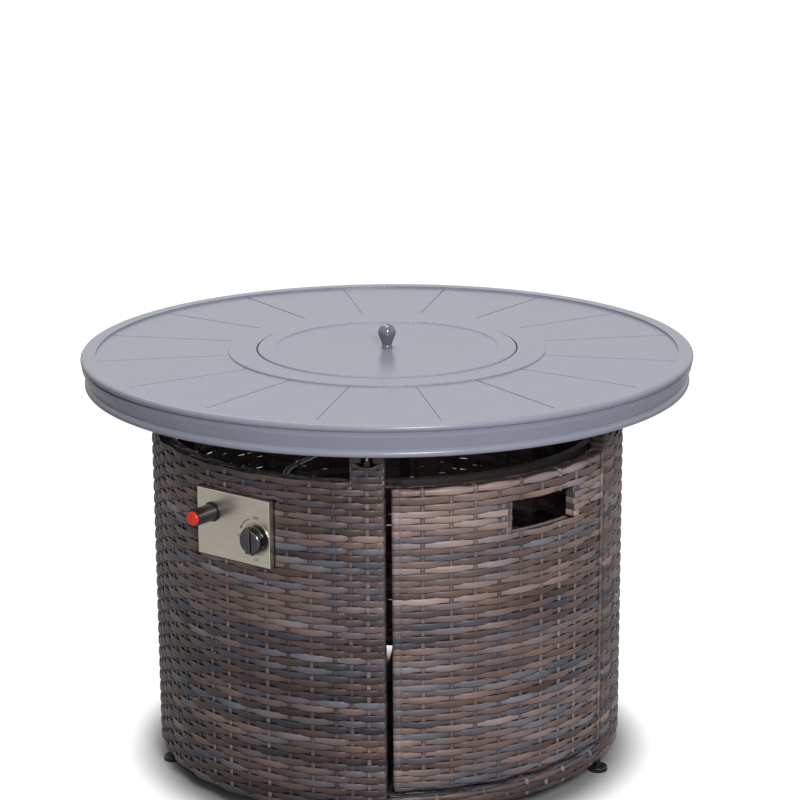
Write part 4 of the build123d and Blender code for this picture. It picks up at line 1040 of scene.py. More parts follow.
    def stakes(
        self,
        mesh: StrandMesh,
        sheet: PlanSheet,
        places: Sequence[float],
        span: Pair,
        windows: Sequence[Window] = (),
        first: int = 0,
    ) -> None:
        """Adds the stakes, which run across the sheet between the wefts.

        Args:
            mesh: what the strands are added to.
            sheet: the surface.
            places: their places along the sheet.
            span: where they start and end across it.
            windows: what stays open.
            first: the number of the first stake.
        """
        half = sheet.spread(self.stake_width) / 2
        for index, place in enumerate(places):
            spans = [span]
            for window in windows:
                if window.along[0] - half < place < window.along[1] + half:
                    spans = cut_out(spans, window.across)
            for start, end in spans:
                count = max(3, int(math.ceil(2 * (end - start) / self.pitch)) + 1)
                level = np.linspace(start, end, count)
                lift = -self.stake_lift * np.cos(np.pi * (level / self.pitch + index + first))
                across = -half * RING_ACROSS
                grid = sheet.place(
                    place + np.broadcast_to(across, (count, len(across))),
                    np.broadcast_to(level[:, None], (count, len(across))),
                    lift[:, None] + self.stake_thick * RING_LIFT,
                )
                number = int(round(sheet.turn(place) * 10)) % SEEDS
                tone, hue = self.colours(number, self.stake_turn * level, 1)
                mesh.add(grid, tone + self.stake_light, hue, level, RING_ACROSS * self.stake_width / 2)


def ride(piece: bpy.types.Object, body: Body) -> None:
    """Fixes a piece to a moving body and reports it.

    Args:
        piece: the new piece.
        body: the body that it moves with.
    """
    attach(piece, body.value)
    faces = len(piece.data.polygons)
    log.info("%s: %d faces, rides on %s", piece.name, faces, body.value)


@dataclass
class WickerBase:
    """The woven walls, the wrapped posts and the sill of the table's base.

    Args:
        weave: how it is woven.
        posts: the number of posts.
        post_width: a wrapped post's width.
        post_gap: what is left between a post and the woven edges beside it.
        edge_wall: the thickness of a wrapped edge.
        wall: the woven wall's thickness.
        post_stake: the angle from a post's middle to its side stakes.
        corner: the rounding of wrapped edges.
        hoop_reach: how far the edges are wrapped round the hoops.
        lip_swing: how far the wefts swing on the wrapped edges.
        bolt_notch: the width of the notch at a post's top.
        bolt_seat: how far below the wrap's top the notch starts.
        first_stake: the left wall's stake beside the front post's.
        left_pitch: the angle between the left wall's stakes.
        bay_stakes: the stakes between two posts on the other walls.
        plate_gap: the room round the control plate.
        painted_shade: how much darker the left wall's strands are drawn, as painted shade for the light that
            falls off on that side.
        back_width: the wefts' width on the two back walls, which are woven a little looser.
        side_width: their width on the wall behind the door's free side, which is woven closer.
        side_swing: how far they stand off the middle surface there.
        end_gap: what is left of the round wall before a wrapped post, in degrees.
        end_lap: how far such a post's wrap ends before the wall.
        loop_degree: how far along an inner turn its colour moves by a degree.
        swing_start: how far inside a wrapped wall's round part its wefts start to swing.
        face_edge: how far inside a post's face they start to.
        face_ease: how far their swing takes to grow there.
        stake_past: how far a post's stakes reach below its first turn.
        stake_short: how far they end below its top.
        stake_end: how far from the end of a wrapped edge the stakes stop.
        stake_room: the least angle between a post's side stake and the left wall's next one.
        length_angle: how far into a wall its length is measured, in degrees.
        turn_over: the share of a turn that may stand over a post's top.
    """

    weave: Weave = field(default_factory=Weave)
    posts: int = 5
    post_width: float = 51.0
    post_gap: float = 0.6
    edge_wall: float = 4.0
    wall: float = 5.0
    post_stake: float = 3.9
    corner: float = 3.0
    hoop_reach: float = 26.6
    lip_swing: float = 1.05
    bolt_notch: float = 15.0
    bolt_seat: float = 13.0
    first_stake: float = -12.4
    left_pitch: float = 5.66
    bay_stakes: int = 10
    plate_gap: float = 0.9
    # Painted shade: the left wall's strands are drawn darker for the light that falls off on that side.
    painted_shade: float = -0.12
    back_width: float = 10.65
    side_width: float = 11.9
    side_swing: float = 1.1
    end_gap: float = 0.8
    end_lap: float = 6.0
    loop_degree: float = 6.25
    swing_start: float = 4.0
    face_edge: float = 2.5
    face_ease: float = 5.0
    stake_past: float = 3.0
    stake_short: float = 2.5
    stake_end: float = 1.0
    stake_room: float = 1.5
    length_angle: float = 5.0
    turn_over: float = 0.4

    def __post_init__(self) -> None:
        """Reads the walls' places from the frame."""
        wall = extent("wicker_panel_back", 175.2)
        sill = extent("wicker_sill", 31.2)
        self.middle_radius = wall.radii[1] - self.wall / 2
        self.inner_radius = wall.radii[0] + self.edge_wall / 2
        self.bottom = wall.levels[0] + self.edge_wall / 2
        self.top = wall.levels[1] - self.edge_wall / 2
        self.tower_top = extent("wicker_posts").levels[1]
        self.sill_top = sill.levels[1] - self.edge_wall / 2
        self.front_post = sill.angles[0] - math.degrees(self.post_width / 2 / wall.radii[1])
        self.bay = 360.0 / self.posts
        self.post_half = self.post_width / 2 - self.edge_wall / 2
        self.post_edge = math.degrees(math.asin(self.post_half / self.middle_radius))
        self.post_side = math.degrees((self.post_width / 2 + self.post_gap) / self.inner_radius)
        self.degree = math.radians(1) * self.middle_radius
        self.section = wrapped_section(
            (self.inner_radius, self.middle_radius), (self.bottom, self.top), self.hoop_reach, self.corner
        )

    def post_angle(self, index: int) -> float:
        """The angle of a post."""
        return self.front_post + self.bay * index

    def stake_angles(self, bay: int) -> list[float]:
        """The stakes of a bay, from one post's middle to just before the next one's.

        Args:
            bay: the bay's number; the last one holds the controls.

        Returns:
            Their angles, growing.
        """
        start = self.post_angle(bay)
        end = start + self.bay
        if bay == self.posts - 1:
            count = int((start + self.post_stake - self.first_stake + 360) // -self.left_pitch) * -1
            found = [360 + self.first_stake - self.left_pitch * k for k in range(count)]
            inner = sorted(angle for angle in found if angle > start + self.post_stake + self.stake_room)
        else:
            step = (self.bay - 2 * self.post_stake) / (self.bay_stakes + 1)
            inner = [start + self.post_stake + step * (k + 1) for k in range(self.bay_stakes)]
        return [start, start + self.post_stake, *inner, end - self.post_stake]

    def wall_path(self, start: float, end: float, wrap: Facing) -> tuple[RoundedPath, float]:
        """The plan of a wall, with one end turned round a post if it is beside the door.

        Args:
            start: the angle where the wall starts.
            end: the angle where it ends.
            wrap: which end is wrapped.

        Returns:
            The path, and the length at which the start angle lies.
        """
        half, outer, inner = self.post_half, self.middle_radius, self.inner_radius
        low = start + self.end_gap * (wrap is Facing.START)
        high = end - self.end_gap * (wrap is Facing.END)
        corners = [*polar(outer, np.linspace(low, high, max(2, int(abs(end - start)))))]
        distance = math.sqrt(outer * outer - half * half)
        turn = [(half, distance), (half, inner), (-half, inner), (-half, distance - self.end_lap)]
        if wrap is Facing.END:
            corners += [turned_plan(across, away, end - self.post_edge) for across, away in turn]
        if wrap is not Facing.START:
            return RoundedPath(corners, self.corner), 0.0
        begun = [turned_plan(-across, away, start + self.post_edge) for across, away in reversed(turn)]
        path = RoundedPath(begun + corners, self.corner)
        target = polar(outer, start + self.length_angle)
        nearest = int(np.argmin(np.linalg.norm(path.points - target, axis=1)))
        shift = math.degrees(math.atan2(path.points[nearest][0], -path.points[nearest][1])) - start
        return path, float(path.lengths[nearest]) - math.radians(shift) * outer

    def rows(self) -> list[Row]:
        """All the wefts of a wall, by their middles along its section."""
        count = int(round(self.section.length / self.weave.pitch))
        return even_rows(0, count, 0.0, self.section.length / count, self.weave.weft_width)

    def wall_rows(self) -> list[Row]:
        """The wefts of the upright wall, by their levels.

        Returns:
            The wefts, from the bottom up.
        """
        lengths, levels = self.section.outer_run()
        offset = float(levels[0] - lengths[0])
        rows = [replace(row, middle=row.middle + offset) for row in self.rows()]
        return [row for row in rows if levels[0] - 1 < row.middle < levels[-1] + 1]

    def plate_window(self, offset: float, start: float) -> Window:
        """The window that the control plate sits in.

        Args:
            offset: the length at which the wall's start angle lies.
            start: that angle.

        Returns:
            The window along the wall's path and by level.
        """
        low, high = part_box("control_plate")
        plate = extent("control_plate", PLATE_ANGLE)
        corner = max(abs(plate.angles[0] - PLATE_ANGLE), abs(plate.angles[1] - PLATE_ANGLE))
        left, right = (
            offset + math.radians(360 + PLATE_ANGLE + sign * corner - start) * self.middle_radius
            for sign in (-1, 1)
        )
        gap = self.plate_gap
        return Window((left - gap, right + gap), (low.z / MM - gap, high.z / MM + gap))

    def make_wall(self, name: str, bay: int, wrap: Facing) -> bpy.types.Object:
        """Weaves the wall of one bay.

        Args:
            name: the CAD node that it replaces.
            bay: the bay's number.
            wrap: which end is wrapped round its post.

        Returns:
            The woven wall.
        """
        mesh = StrandMesh(name + "_weave")
        weave, width = {
            Facing.NEITHER: (self.weave, self.back_width),
            Facing.START: (replace(self.weave, swing=self.side_swing), self.side_width),
            # The left wall's strands are drawn darker: painted shade for the light that falls off on that
            # side.
            Facing.END: (
                replace(self.weave, lightness=self.weave.lightness + self.painted_shade), self.weave.weft_width
            ),
        }[wrap]
        rows = [replace(row, width=width) for row in self.wall_rows()]
        start = self.post_angle(bay)
        end = start + self.bay
        first = sum(len(self.stake_angles(k)) for k in range(bay))
        angles = self.stake_angles(bay)
        if wrap is Facing.START:
            start -= self.post_edge
            angles = [angles[0] - self.post_stake, *angles]
            first -= 1
        if wrap is Facing.END:
            end += self.post_edge
            angles = [*angles, angles[-1] + self.post_stake, angles[-1] + 2 * self.post_stake]
        else:
            angles = [*angles, self.post_angle(bay) + self.bay]
        path, offset = self.wall_path(start, end, wrap)
        stakes = offset + (np.array(angles) - start) * self.degree
        windows = [self.plate_window(offset, start)] if bay == self.posts - 1 else []
        sheet = PlanSheet(path, start, offset, self.degree)
        last = offset + (end - start) * self.degree
        reach = Reach(
            offset + self.swing_start if wrap is Facing.START else -math.inf,
            last - self.swing_start if wrap is Facing.END else math.inf,
        )
        weave.wefts(mesh, sheet, rows, stakes, (0.0, path.length), windows, reach, first)
        shown = stakes if wrap is Facing.END else stakes[:-1]
        span = (self.bottom + self.corner, self.top - self.corner)
        weave.stakes(mesh, sheet, shown, span, windows, first)
        self.weave_lips(mesh, bay, first)
        made = mesh.make()
        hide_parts(name)
        return made

    def weave_lips(self, mesh: StrandMesh, bay: int, first: int) -> None:
        """Weaves a wall's edges round the two hoops, between its posts.

        Args:
            mesh: what the strands are added to.
            bay: the bay's number.
            first: the number of its first stake.
        """
        post = self.post_angle(bay)
        sheet = RingSheet(self.section, radius=self.middle_radius)
        angles = np.array(self.stake_angles(bay)[2:-1])
        upright = {row.number for row in self.wall_rows()}
        rows = [row for row in self.rows() if row.number not in upright]
        lips = replace(self.weave, swing=self.lip_swing)
        between = (post + self.post_side, post + self.bay - self.post_side)
        lips.wefts(mesh, sheet, rows, angles, between, first=first + 2)
        lengths, _ = self.section.outer_run()
        end = self.section.length - self.stake_end
        for span in ((self.stake_end, float(lengths[0])), (float(lengths[-1]), end)):
            self.weave.stakes(mesh, sheet, angles, span, first=first + 2)

    def plan(self, corners: Iterable[Pair], angle: float) -> RoundedPath:
        """A path round a post, from corners given across and away from the axis."""
        return RoundedPath([turned_plan(across, away, angle) for across, away in corners], self.corner)

    def make_posts(self) -> bpy.types.Object:
        """Wraps the posts: closed turns above the walls and, inside, turns round the three back posts.

        Returns:
            The wrapped posts.
        """
        mesh = StrandMesh("post_wraps")
        half, inner = self.post_half, self.inner_radius
        outer = math.sqrt(self.middle_radius ** 2 - half * half)
        rows = self.wall_rows()
        last = rows[-1]
        pitch = last.middle - rows[-2].middle
        count = int((self.tower_top - last.middle - pitch / 2) / pitch + self.turn_over)
        tower = even_rows(last.number + 1, count, last.middle + pitch / 2, pitch, last.width)
        closed = ((0, inner), (-half, inner), (-half, outer), (half, outer), (half, inner), (0, inner))
        lap = outer - self.end_lap
        for index in range(self.posts):
            angle = self.post_angle(index)
            self.wrap_tower(mesh, self.plan(closed, angle), tower, angle)
            if index > 1:
                path = self.plan(((half, lap), (half, inner), (-half, inner), (-half, lap)), angle)
                loop = PlanSheet(path, angle, 0.0, self.loop_degree)
                self.weave.lay_flat(mesh, loop, rows, (0.0, path.length))
        made = mesh.make()
        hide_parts("wicker_posts")
        return made

    def wrap_tower(self, mesh: StrandMesh, path: RoundedPath, rows: Sequence[Row], angle: float) -> None:
        """Wraps a post above the wall, with a notch in front of its bolt.

        Args:
            mesh: what the strands are added to.
            path: the wrap's plan, from the post's inner side and back to it.
            rows: the turns.
            angle: the post's angle.
        """
        middle = path.length / 2
        sheet = PlanSheet(path, angle, middle, self.degree)
        stakes = middle + self.post_stake * self.degree * np.array([-1.0, 0.0, 1.0])
        side = self.bolt_notch / 2
        seat = self.tower_top - self.bolt_seat
        notch = Window((middle - side, middle + side), (seat, math.inf))
        face = self.post_half - self.face_edge
        reach = Reach(middle - face, middle + face, self.face_ease)
        self.weave.wefts(mesh, sheet, rows, stakes, (0.0, path.length), [notch], reach)
        low = rows[0].middle - rows[0].width / 2
        span = (low - self.stake_past, self.tower_top - self.stake_short)
        self.weave.stakes(mesh, sheet, stakes, span, [notch])

    def make_sill(self) -> bpy.types.Object:
        """Weaves the sill round the bottom hoop under the door.

        Returns:
            The woven sill.
        """
        mesh = StrandMesh("sill_weave")
        inner, outer = self.inner_radius, self.middle_radius
        low, high = self.bottom, self.sill_top
        middle = (inner + outer) / 2
        corners = ((middle, high), (inner, high), (inner, low), (outer, low), (outer, high), (middle, high))
        profile = RoundedPath(corners, self.corner)
        sheet = RingSheet(profile, radius=outer)
        count = int(round(profile.length / self.weave.pitch / 2)) * 2
        rows = even_rows(0, count, 0.0, profile.length / count, self.weave.weft_width)
        span = (self.post_angle(0) + self.post_side, self.post_angle(1) - self.post_side)
        angles = np.array(self.stake_angles(0)[2:-1])
        lips = replace(self.weave, swing=self.lip_swing)
        lips.wefts(mesh, sheet, rows, angles, span)
        end = self.stake_end / 2
        lips.stakes(mesh, sheet, angles, (end, profile.length - end))
        made = mesh.make()
        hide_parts("wicker_sill")
        return made

    def build(self) -> None:
        """Builds the walls, the posts and the sill."""
        walls = (
            ("wicker_panel_back_right", 1, Facing.START),
            ("wicker_panel_back", 2, Facing.NEITHER),
            ("wicker_panel_back_left", 3, Facing.NEITHER),
            ("wicker_panel_left", 4, Facing.END),
        )
        made = [self.make_wall(name, bay, wrap) for name, bay, wrap in walls]
        for piece in (*made, self.make_posts(), self.make_sill()):
            ride(piece, Body.BASE)


@dataclass
class WickerDoor:
    """The woven door: its wall, its wrapped edges and the hand hole.

    Args:
        weave: how it is woven; its strands are drawn lighter than the walls', as painted light for the
            brighter light that falls on the door.
        stakes: the stakes' angles.
        wall: the wall's thickness.
        edge_wall: the thickness of a wrapped edge.
        proud: how far wraps over the weft ends stand out.
        broad_rows: the broad rows along the top.
        broad_pitch: how tall each of them is.
        broad_light: how much lighter they are.
        strip: how far the wrapped stiles reach over the weft ends.
        return_width: how far the edges are wrapped round to the inside.
        return_rows: the wefts on the lower edge.
        return_swing: how far the wefts swing on the wrapped edges.
        corner: the rounding of its edges.
        hole_angles: the hand hole's sides.
        hole_levels: its bottom and top.
        hole_strip: how far its wrap reaches over the weft ends.
        hole_corner: the rounding of its sides.
        collar: the thickness of the strands round the hole.
        hole_depth: how deep the wraps reach into it.
        ledge_reach: how far the strands above and below it reach over the wall.
        ledge_corner: the rounding of its bottom and top.
        ledge_pitch: the pitch of those strands.
        ledge_width: their width.
        ledge_starts: where the strands below and above start on their paths.
        inset: how far inside the door's sides its wefts end.
        flat_ease: how far, in degrees, the wefts' swing takes to grow beside the wrapped stiles.
        flat_sink: how far their ends lie to the inside under the wraps.
        stake_end: how far from the ends of the wrapped edges the stakes stop.
        stake_room: the least angle between a stake and the wefts' ends.
    """

    # Painted light: the door's strands are drawn lighter than the walls' (0.13 against 0.05) for the
    # brighter light that falls on the door.
    weave: Weave = field(default_factory=lambda: Weave(pitch=9.1, weft_width=10.6, seed=19, lightness=0.13))
    stakes: tuple[float, ...] = (1.7, 7.7, 14.3, 20.1, 26.1, 31.9, 37.9, 43.7, 49.5, 55.4, 61.2)
    wall: float = 5.0
    edge_wall: float = 4.0
    proud: float = 1.15
    broad_rows: int = 2
    broad_pitch: float = 11.9
    broad_light: float = 0.10
    strip: float = 12.5
    return_width: float = 18.0
    return_rows: int = 6
    return_swing: float = 0.9
    corner: float = 3.5
    hole_angles: Pair = (29.3, 48.4)
    hole_levels: Pair = (433.0, 478.5)
    hole_strip: float = 11.0
    hole_corner: float = 3.0
    collar: float = 4.0
    hole_depth: float = 15.0
    ledge_reach: float = 8.0
    ledge_corner: float = 2.5
    ledge_pitch: float = 8.3
    ledge_width: float = 7.9
    ledge_starts: Pair = (6.75, 0.75)
    inset: float = 3.0
    flat_ease: float = 0.7
    flat_sink: float = 0.75
    stake_end: float = 1.0
    stake_room: float = 2.0

    def __post_init__(self) -> None:
        """Reads the door's place from the frame."""
        door = extent("wicker_door", 31.0)
        self.outer = door.radii[1] - self.wall / 2
        self.inner = door.radii[0] + self.edge_wall / 2
        self.angles = door.angles
        self.bottom = door.levels[0] + self.edge_wall / 2
        self.top = door.levels[1] - self.edge_wall / 2

    def wall_rows(self, shift: float = 0.0) -> list[Row]:
        """The wefts of the outer wall: even ones from the hole's top down, and broad ones above.

        Args:
            shift: what is added to their levels.

        Returns:
            The wefts.
        """
        pitch = self.weave.pitch
        level = self.hole_levels[1] + pitch
        count = int((level - self.bottom) / pitch)
        level += shift
        rows = even_rows(200, count, level, -pitch, self.weave.weft_width, up=-1)
        broad = (self.broad_pitch, self.broad_pitch + 0.5, self.broad_light)
        return rows + even_rows(201, self.broad_rows, level, *broad)

    def build(self) -> None:
        """Builds the door's weave."""
        mesh = StrandMesh("door_weave")
        section = wrapped_section(
            (self.inner, self.outer), (self.bottom, self.top), self.return_width, self.corner
        )
        sheet = RingSheet(section, radius=self.outer)
        lengths, levels = section.outer_run()
        shift = float(lengths[0] - levels[0])
        rows = self.wall_rows(shift)
        inset = sheet.spread(self.inset)
        span = (self.angles[0] + inset, self.angles[1] - inset)
        hole = Window(self.hole_angles, (self.hole_levels[0] + shift, self.hole_levels[1] + shift))
        stakes = np.array(self.stakes)
        strip = sheet.spread(self.strip)
        reach = Reach(self.angles[0] + strip, self.angles[1] - strip, self.flat_ease, self.flat_sink)
        self.weave.wefts(mesh, sheet, rows, stakes, span, [hole], reach)
        pitch, width = self.weave.pitch, self.weave.weft_width
        below = rows[-self.broad_rows - 1].middle - pitch / 2
        above = rows[-1].middle + self.broad_pitch / 2
        returns = even_rows(300, self.return_rows, below, -pitch, width)
        returns += even_rows(310, int((section.length - above) / pitch), above, pitch, width)
        lips = Weave(swing=self.return_swing, seed=self.weave.seed)
        kept = [row for row in returns if row.middle > pitch / 2]
        lips.wefts(mesh, sheet, kept, stakes, span)
        room = self.stake_room
        inner_stakes = [angle for angle in self.stakes if span[0] + room < angle < span[1] - room]
        across = (self.stake_end, section.length - self.stake_end)
        self.weave.stakes(mesh, sheet, inner_stakes, across, [hole])
        self.wrap_stiles(mesh)
        self.wrap_hole(mesh)
        made = mesh.make()
        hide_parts("wicker_door")
        ride(made, Body.DOOR)

    def wrap_edge(self, mesh: StrandMesh, rows: Sequence[Row], edge: float, sign: int,
                  section: Iterable[Pair], corner: float) -> None:
        """Lays flat strands round one upright edge.

        Args:
            mesh: what the strands are added to.
            rows: the strands.
            edge: the edge's angle.
            sign: one if the wrap lies towards growing angles, minus one if not.
            section: its corners from the outside in, as radii and as degrees from the edge.
            corner: their rounding.
        """
        corners = [polar(radius, edge + sign * away) for radius, away in section]
        path = RoundedPath(corners[::-sign], corner)
        self.weave.lay_flat(mesh, PlanSheet(path, edge), rows, (0.0, path.length))

    def wrap_stiles(self, mesh: StrandMesh) -> None:
        """Wraps both upright edges, over the weft ends and round to the inside.

        Args:
            mesh: what the strands are added to.
        """
        proud = self.outer + self.proud
        side = math.degrees(self.edge_wall / 2 / self.outer)
        strip = math.degrees(self.strip / self.outer)
        back = math.degrees(self.return_width / self.inner)
        section = ((proud, strip), (proud, side), (self.inner, side), (self.inner, back))
        for edge, sign in zip(self.angles, (1, -1)):
            self.wrap_edge(mesh, self.wall_rows(), edge, sign, section, self.corner)

    def wrap_hole(self, mesh: StrandMesh) -> None:
        """Wraps the hand hole's four sides.

        Args:
            mesh: what the strands are added to.
        """
        low, high = self.hole_levels
        pitch = self.weave.pitch
        outer, deep = self.outer, self.outer - self.hole_depth
        proud = outer + self.proud
        thick = self.collar / 2
        rows = even_rows(400, int((high - low) / pitch), low, pitch, self.weave.weft_width)
        side = math.degrees(thick / outer)
        section = ((proud, math.degrees(self.hole_strip / outer)), (proud, side), (deep, side))
        for edge, sign in zip(self.hole_angles, (-1, 1)):
            self.wrap_edge(mesh, rows, edge, sign, section, self.hole_corner)
        below, above, reach = low - thick, high + thick, self.ledge_reach
        ledges = (
            (410, ((outer, low - reach), (outer, below), (deep, below))),
            (420, ((deep, above), (outer, above), (outer, high + reach))),
        )
        for (number, corners), start in zip(ledges, self.ledge_starts):
            path = RoundedPath(corners, self.ledge_corner)
            ring = RingSheet(path, self.hole_angles[0], per_degree=math.inf, radius=outer)
            strands = even_rows(number, 2, start, self.ledge_pitch, self.ledge_width)
            self.weave.lay_flat(mesh, ring, strands, self.hole_angles)


# Metal, stone and print


@dataclass
class PostBolts:
    """The threaded studs that carry the top over the posts.

    Args:
        pitch: the thread's pitch.
        thread_depth: how deep the thread is cut.
        chamfer: how far a stud's ends are turned down.
        sides: points round a stud.
        steps: rings in a pitch.
    """

    pitch: float = 1.25
    thread_depth: float = 0.65
    chamfer: float = 1.2
    sides: int = 14
    steps: int = 6

    def build(self, base: WickerBase) -> None:
        """Cuts a helical thread on each stud.

        Args:
            base: the base whose posts the studs stand on.
        """
        place = extent("post_bolts")
        middle = sum(place.radii) / 2
        radius = (place.radii[1] - place.radii[0]) / 2
        low, high = place.levels
        count = int((high - low) / self.pitch * self.steps)
        level = np.linspace(low, high, count)[:, None]
        turn = np.linspace(0, 1, self.sides, endpoint=False)[None, :]
        wave = np.abs(((level / self.pitch - turn) % 1.0) * 2 - 1)
        chamfer = np.clip(self.chamfer - np.minimum(level - low, high - level), 0, self.chamfer)
        reach = radius - np.maximum(self.thread_depth * wave, chamfer)
        angle = 2 * math.pi * turn
        levels = np.broadcast_to(level, reach.shape)
        studs = []
        for index in range(base.posts):
            x, y = turned_plan(0.0, middle, base.post_angle(index))
            columns = (x + reach * np.cos(angle), y - reach * np.sin(angle), levels)
            faces = strip_faces(count, self.sides, index * count * self.sides)
            studs.append((np.stack(columns, -1).reshape(-1, 3), *faces))
        points, *faces = (np.vstack(part) for part in zip(*studs))
        made = mesh_object("post_studs", points, faces, FinishName.ZINC)
        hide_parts("post_bolts")
        ride(made, Body.BASE)


@dataclass
class LavaBed:
    """The broken rocks in the burner pan.

    Args:
        cuts: how often each edge of the plain rocks is cut.
        coarse: the size of the large hollows.
        fine: the size of the small ones.
        coarse_share: how much of the hollows' depth the large ones make.
        depth: how deep the hollows go in.
        strength: how fast they reach that depth.
    """

    cuts: int = 3
    coarse: float = 11.0
    fine: float = 3.5
    coarse_share: float = 0.65
    depth: float = 3.0
    strength: float = 1.8

    def build(self) -> None:
        """Roughens a copy of the plain rocks, inwards only, so that they stay in their places."""
        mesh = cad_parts["lava_rocks"].data.copy()
        shape = bmesh.new()
        shape.from_mesh(mesh)
        bmesh.ops.remove_doubles(shape, verts=shape.verts, dist=0.01 * MM)
        bmesh.ops.subdivide_edges(shape, edges=shape.edges, cuts=self.cuts, use_grid_fill=True)
        shape.normal_update()
        moves = []
        for vertex in shape.verts:
            coarse, fine = (abs(noise.noise(vertex.co / MM / size)) for size in (self.coarse, self.fine))
            hollow = self.coarse_share * coarse + (1 - self.coarse_share) * fine
            moves.append(vertex.normal * (-self.depth * MM * min(1.0, self.strength * hollow)))
        for vertex, move in zip(shape.verts, moves):
            vertex.co += move
        shape.to_mesh(mesh)
        shape.free()
        mesh.materials.clear()
        mesh.materials.append(material(FinishName.STONE))
        made = add_object("broken_lava_rocks", mesh)
        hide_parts("lava_rocks")
        ride(made, Body.BASE)


@dataclass
class PlateMarks:
    """The printed marks round the gas knob: words for its three places and an arrow that says how it turns.

    Args:
        word_height: the letters' height.
        word_scale: the font's size over that height.
        word_gap: the gap between the knob's ring and the words.
        arrow_radius: the arrow's radius round the knob.
        arrow_width: its stroke.
        arrow_angles: where it starts and ends, clockwise from the top.
        arrow_points: points along it.
        head_width: half the width of its head, over its stroke.
        head_length: the head's length, over its stroke.
        thickness: the film of ink, drawn thicker than real ink so that it shows.
    """

    word_height: float = 4.6
    word_scale: float = 1.4
    word_gap: float = 4.0
    arrow_radius: float = 30.0
    arrow_width: float = 1.1
    arrow_angles: Pair = (-22.0, -62.0)
    arrow_points: int = 14
    head_width: float = 2.2
    head_length: float = 3.4
    thickness: float = 0.08

    def __post_init__(self) -> None:
        """Reads the knob's place from its ring on the plate."""
        low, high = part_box("knob_bezel")
        centre = (low + high) / 2 / MM
        turn = math.radians(PLATE_ANGLE)
        self.level = centre.z
        self.offset = centre.x * math.cos(turn) + centre.y * math.sin(turn)
        self.ring = (high.z - low.z) / 2 / MM
        x, y = turned_plan(0.0, 1.0, PLATE_ANGLE)
        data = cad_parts["control_plate"].data
        self.distance = max(vertex.co.x * x + vertex.co.y * y for vertex in data.vertices) / MM

    def matrix(self, across: float, level: float) -> Matrix:
        """The place and turn of a mark on the plate.

        Args:
            across: its place across the plate.
            level: its place in height.

        Returns:
            The mark's matrix.
        """
        x, y = turned_plan(across, self.distance, PLATE_ANGLE)
        turn = Matrix.Rotation(math.radians(PLATE_ANGLE), 4, "Z") @ Matrix.Rotation(math.pi / 2, 4, "X")
        return Matrix.Translation(Vector((x, y, level)) * MM) @ turn

    def word(self, text: str, across: float, level: float, align: str) -> bpy.types.Mesh:
        """Makes one word as a thin mesh.

        Args:
            text: the word.
            across: its place across the plate.
            level: its place in height.
            align: how it lies about its place.

        Returns:
            The word's mesh in the table's frame.
        """
        curve = bpy.data.curves.new("word_" + text, "FONT")
        curve.body = text
        curve.size = self.word_height * MM * self.word_scale
        curve.extrude = self.thickness * MM
        curve.align_x = align
        curve.align_y = "CENTER"
        holder = bpy.data.objects.new("word_" + text, curve)
        mesh = bpy.data.meshes.new_from_object(holder)
        mesh.transform(self.matrix(across, level))
        bpy.data.objects.remove(holder)
        return mesh

    def arrow(self) -> bpy.types.Mesh:
        """Makes the curved arrow.

        Returns:
            A thin mesh in the table's frame.
        """
        start, end = (math.radians(angle) for angle in self.arrow_angles)
        half = self.arrow_width / 2
        angles = np.linspace(start, end, self.arrow_points)
        inner, outer = ([(self.arrow_radius + side * half, a) for a in angles] for side in (-1, 1))
        wide = self.head_width * self.arrow_width
        tip = end - self.head_length * self.arrow_width / self.arrow_radius
        head = [(self.arrow_radius - wide, end), (self.arrow_radius + wide, end), (self.arrow_radius, tip)]
        mesh = bpy.data.meshes.new("arrow")
        shape = bmesh.new()
        for outline in (inner + outer[::-1], head):
            places = [(r * math.sin(a) * MM, r * math.cos(a) * MM, 0) for r, a in outline]
            face = shape.faces.new([shape.verts.new(place) for place in places])
            if face.calc_area() and face.normal.z < 0:
                face.normal_flip()
        shape.normal_update()
        raised = bmesh.ops.extrude_face_region(shape, geom=shape.faces[:])
        for item in raised["geom"]:
            if isinstance(item, bmesh.types.BMVert):
                item.co.z += self.thickness * MM
        bmesh.ops.recalc_face_normals(shape, faces=shape.faces)
        shape.to_mesh(mesh)
        shape.free()
        mesh.transform(self.matrix(self.offset, self.level))
        return mesh

    def build(self) -> None:
        """Adds the marks."""
        away = self.ring + self.word_gap + self.word_height / 2
        meshes = [
            self.word("OFF", self.offset, self.level + away, "CENTER"),
            self.word("LO", self.offset, self.level - away, "CENTER"),
            self.word("HI", self.offset - self.ring - self.word_gap, self.level, "RIGHT"),
            self.arrow(),
        ]
        shape = bmesh.new()
        for mesh in meshes:
            shape.from_mesh(mesh)
        joined = bpy.data.meshes.new("plate_marks")
        shape.to_mesh(joined)
        shape.free()
        joined.materials.append(material(FinishName.BLACK))
        made = add_object("plate_marks", joined)
        ride(made, Body.BASE)


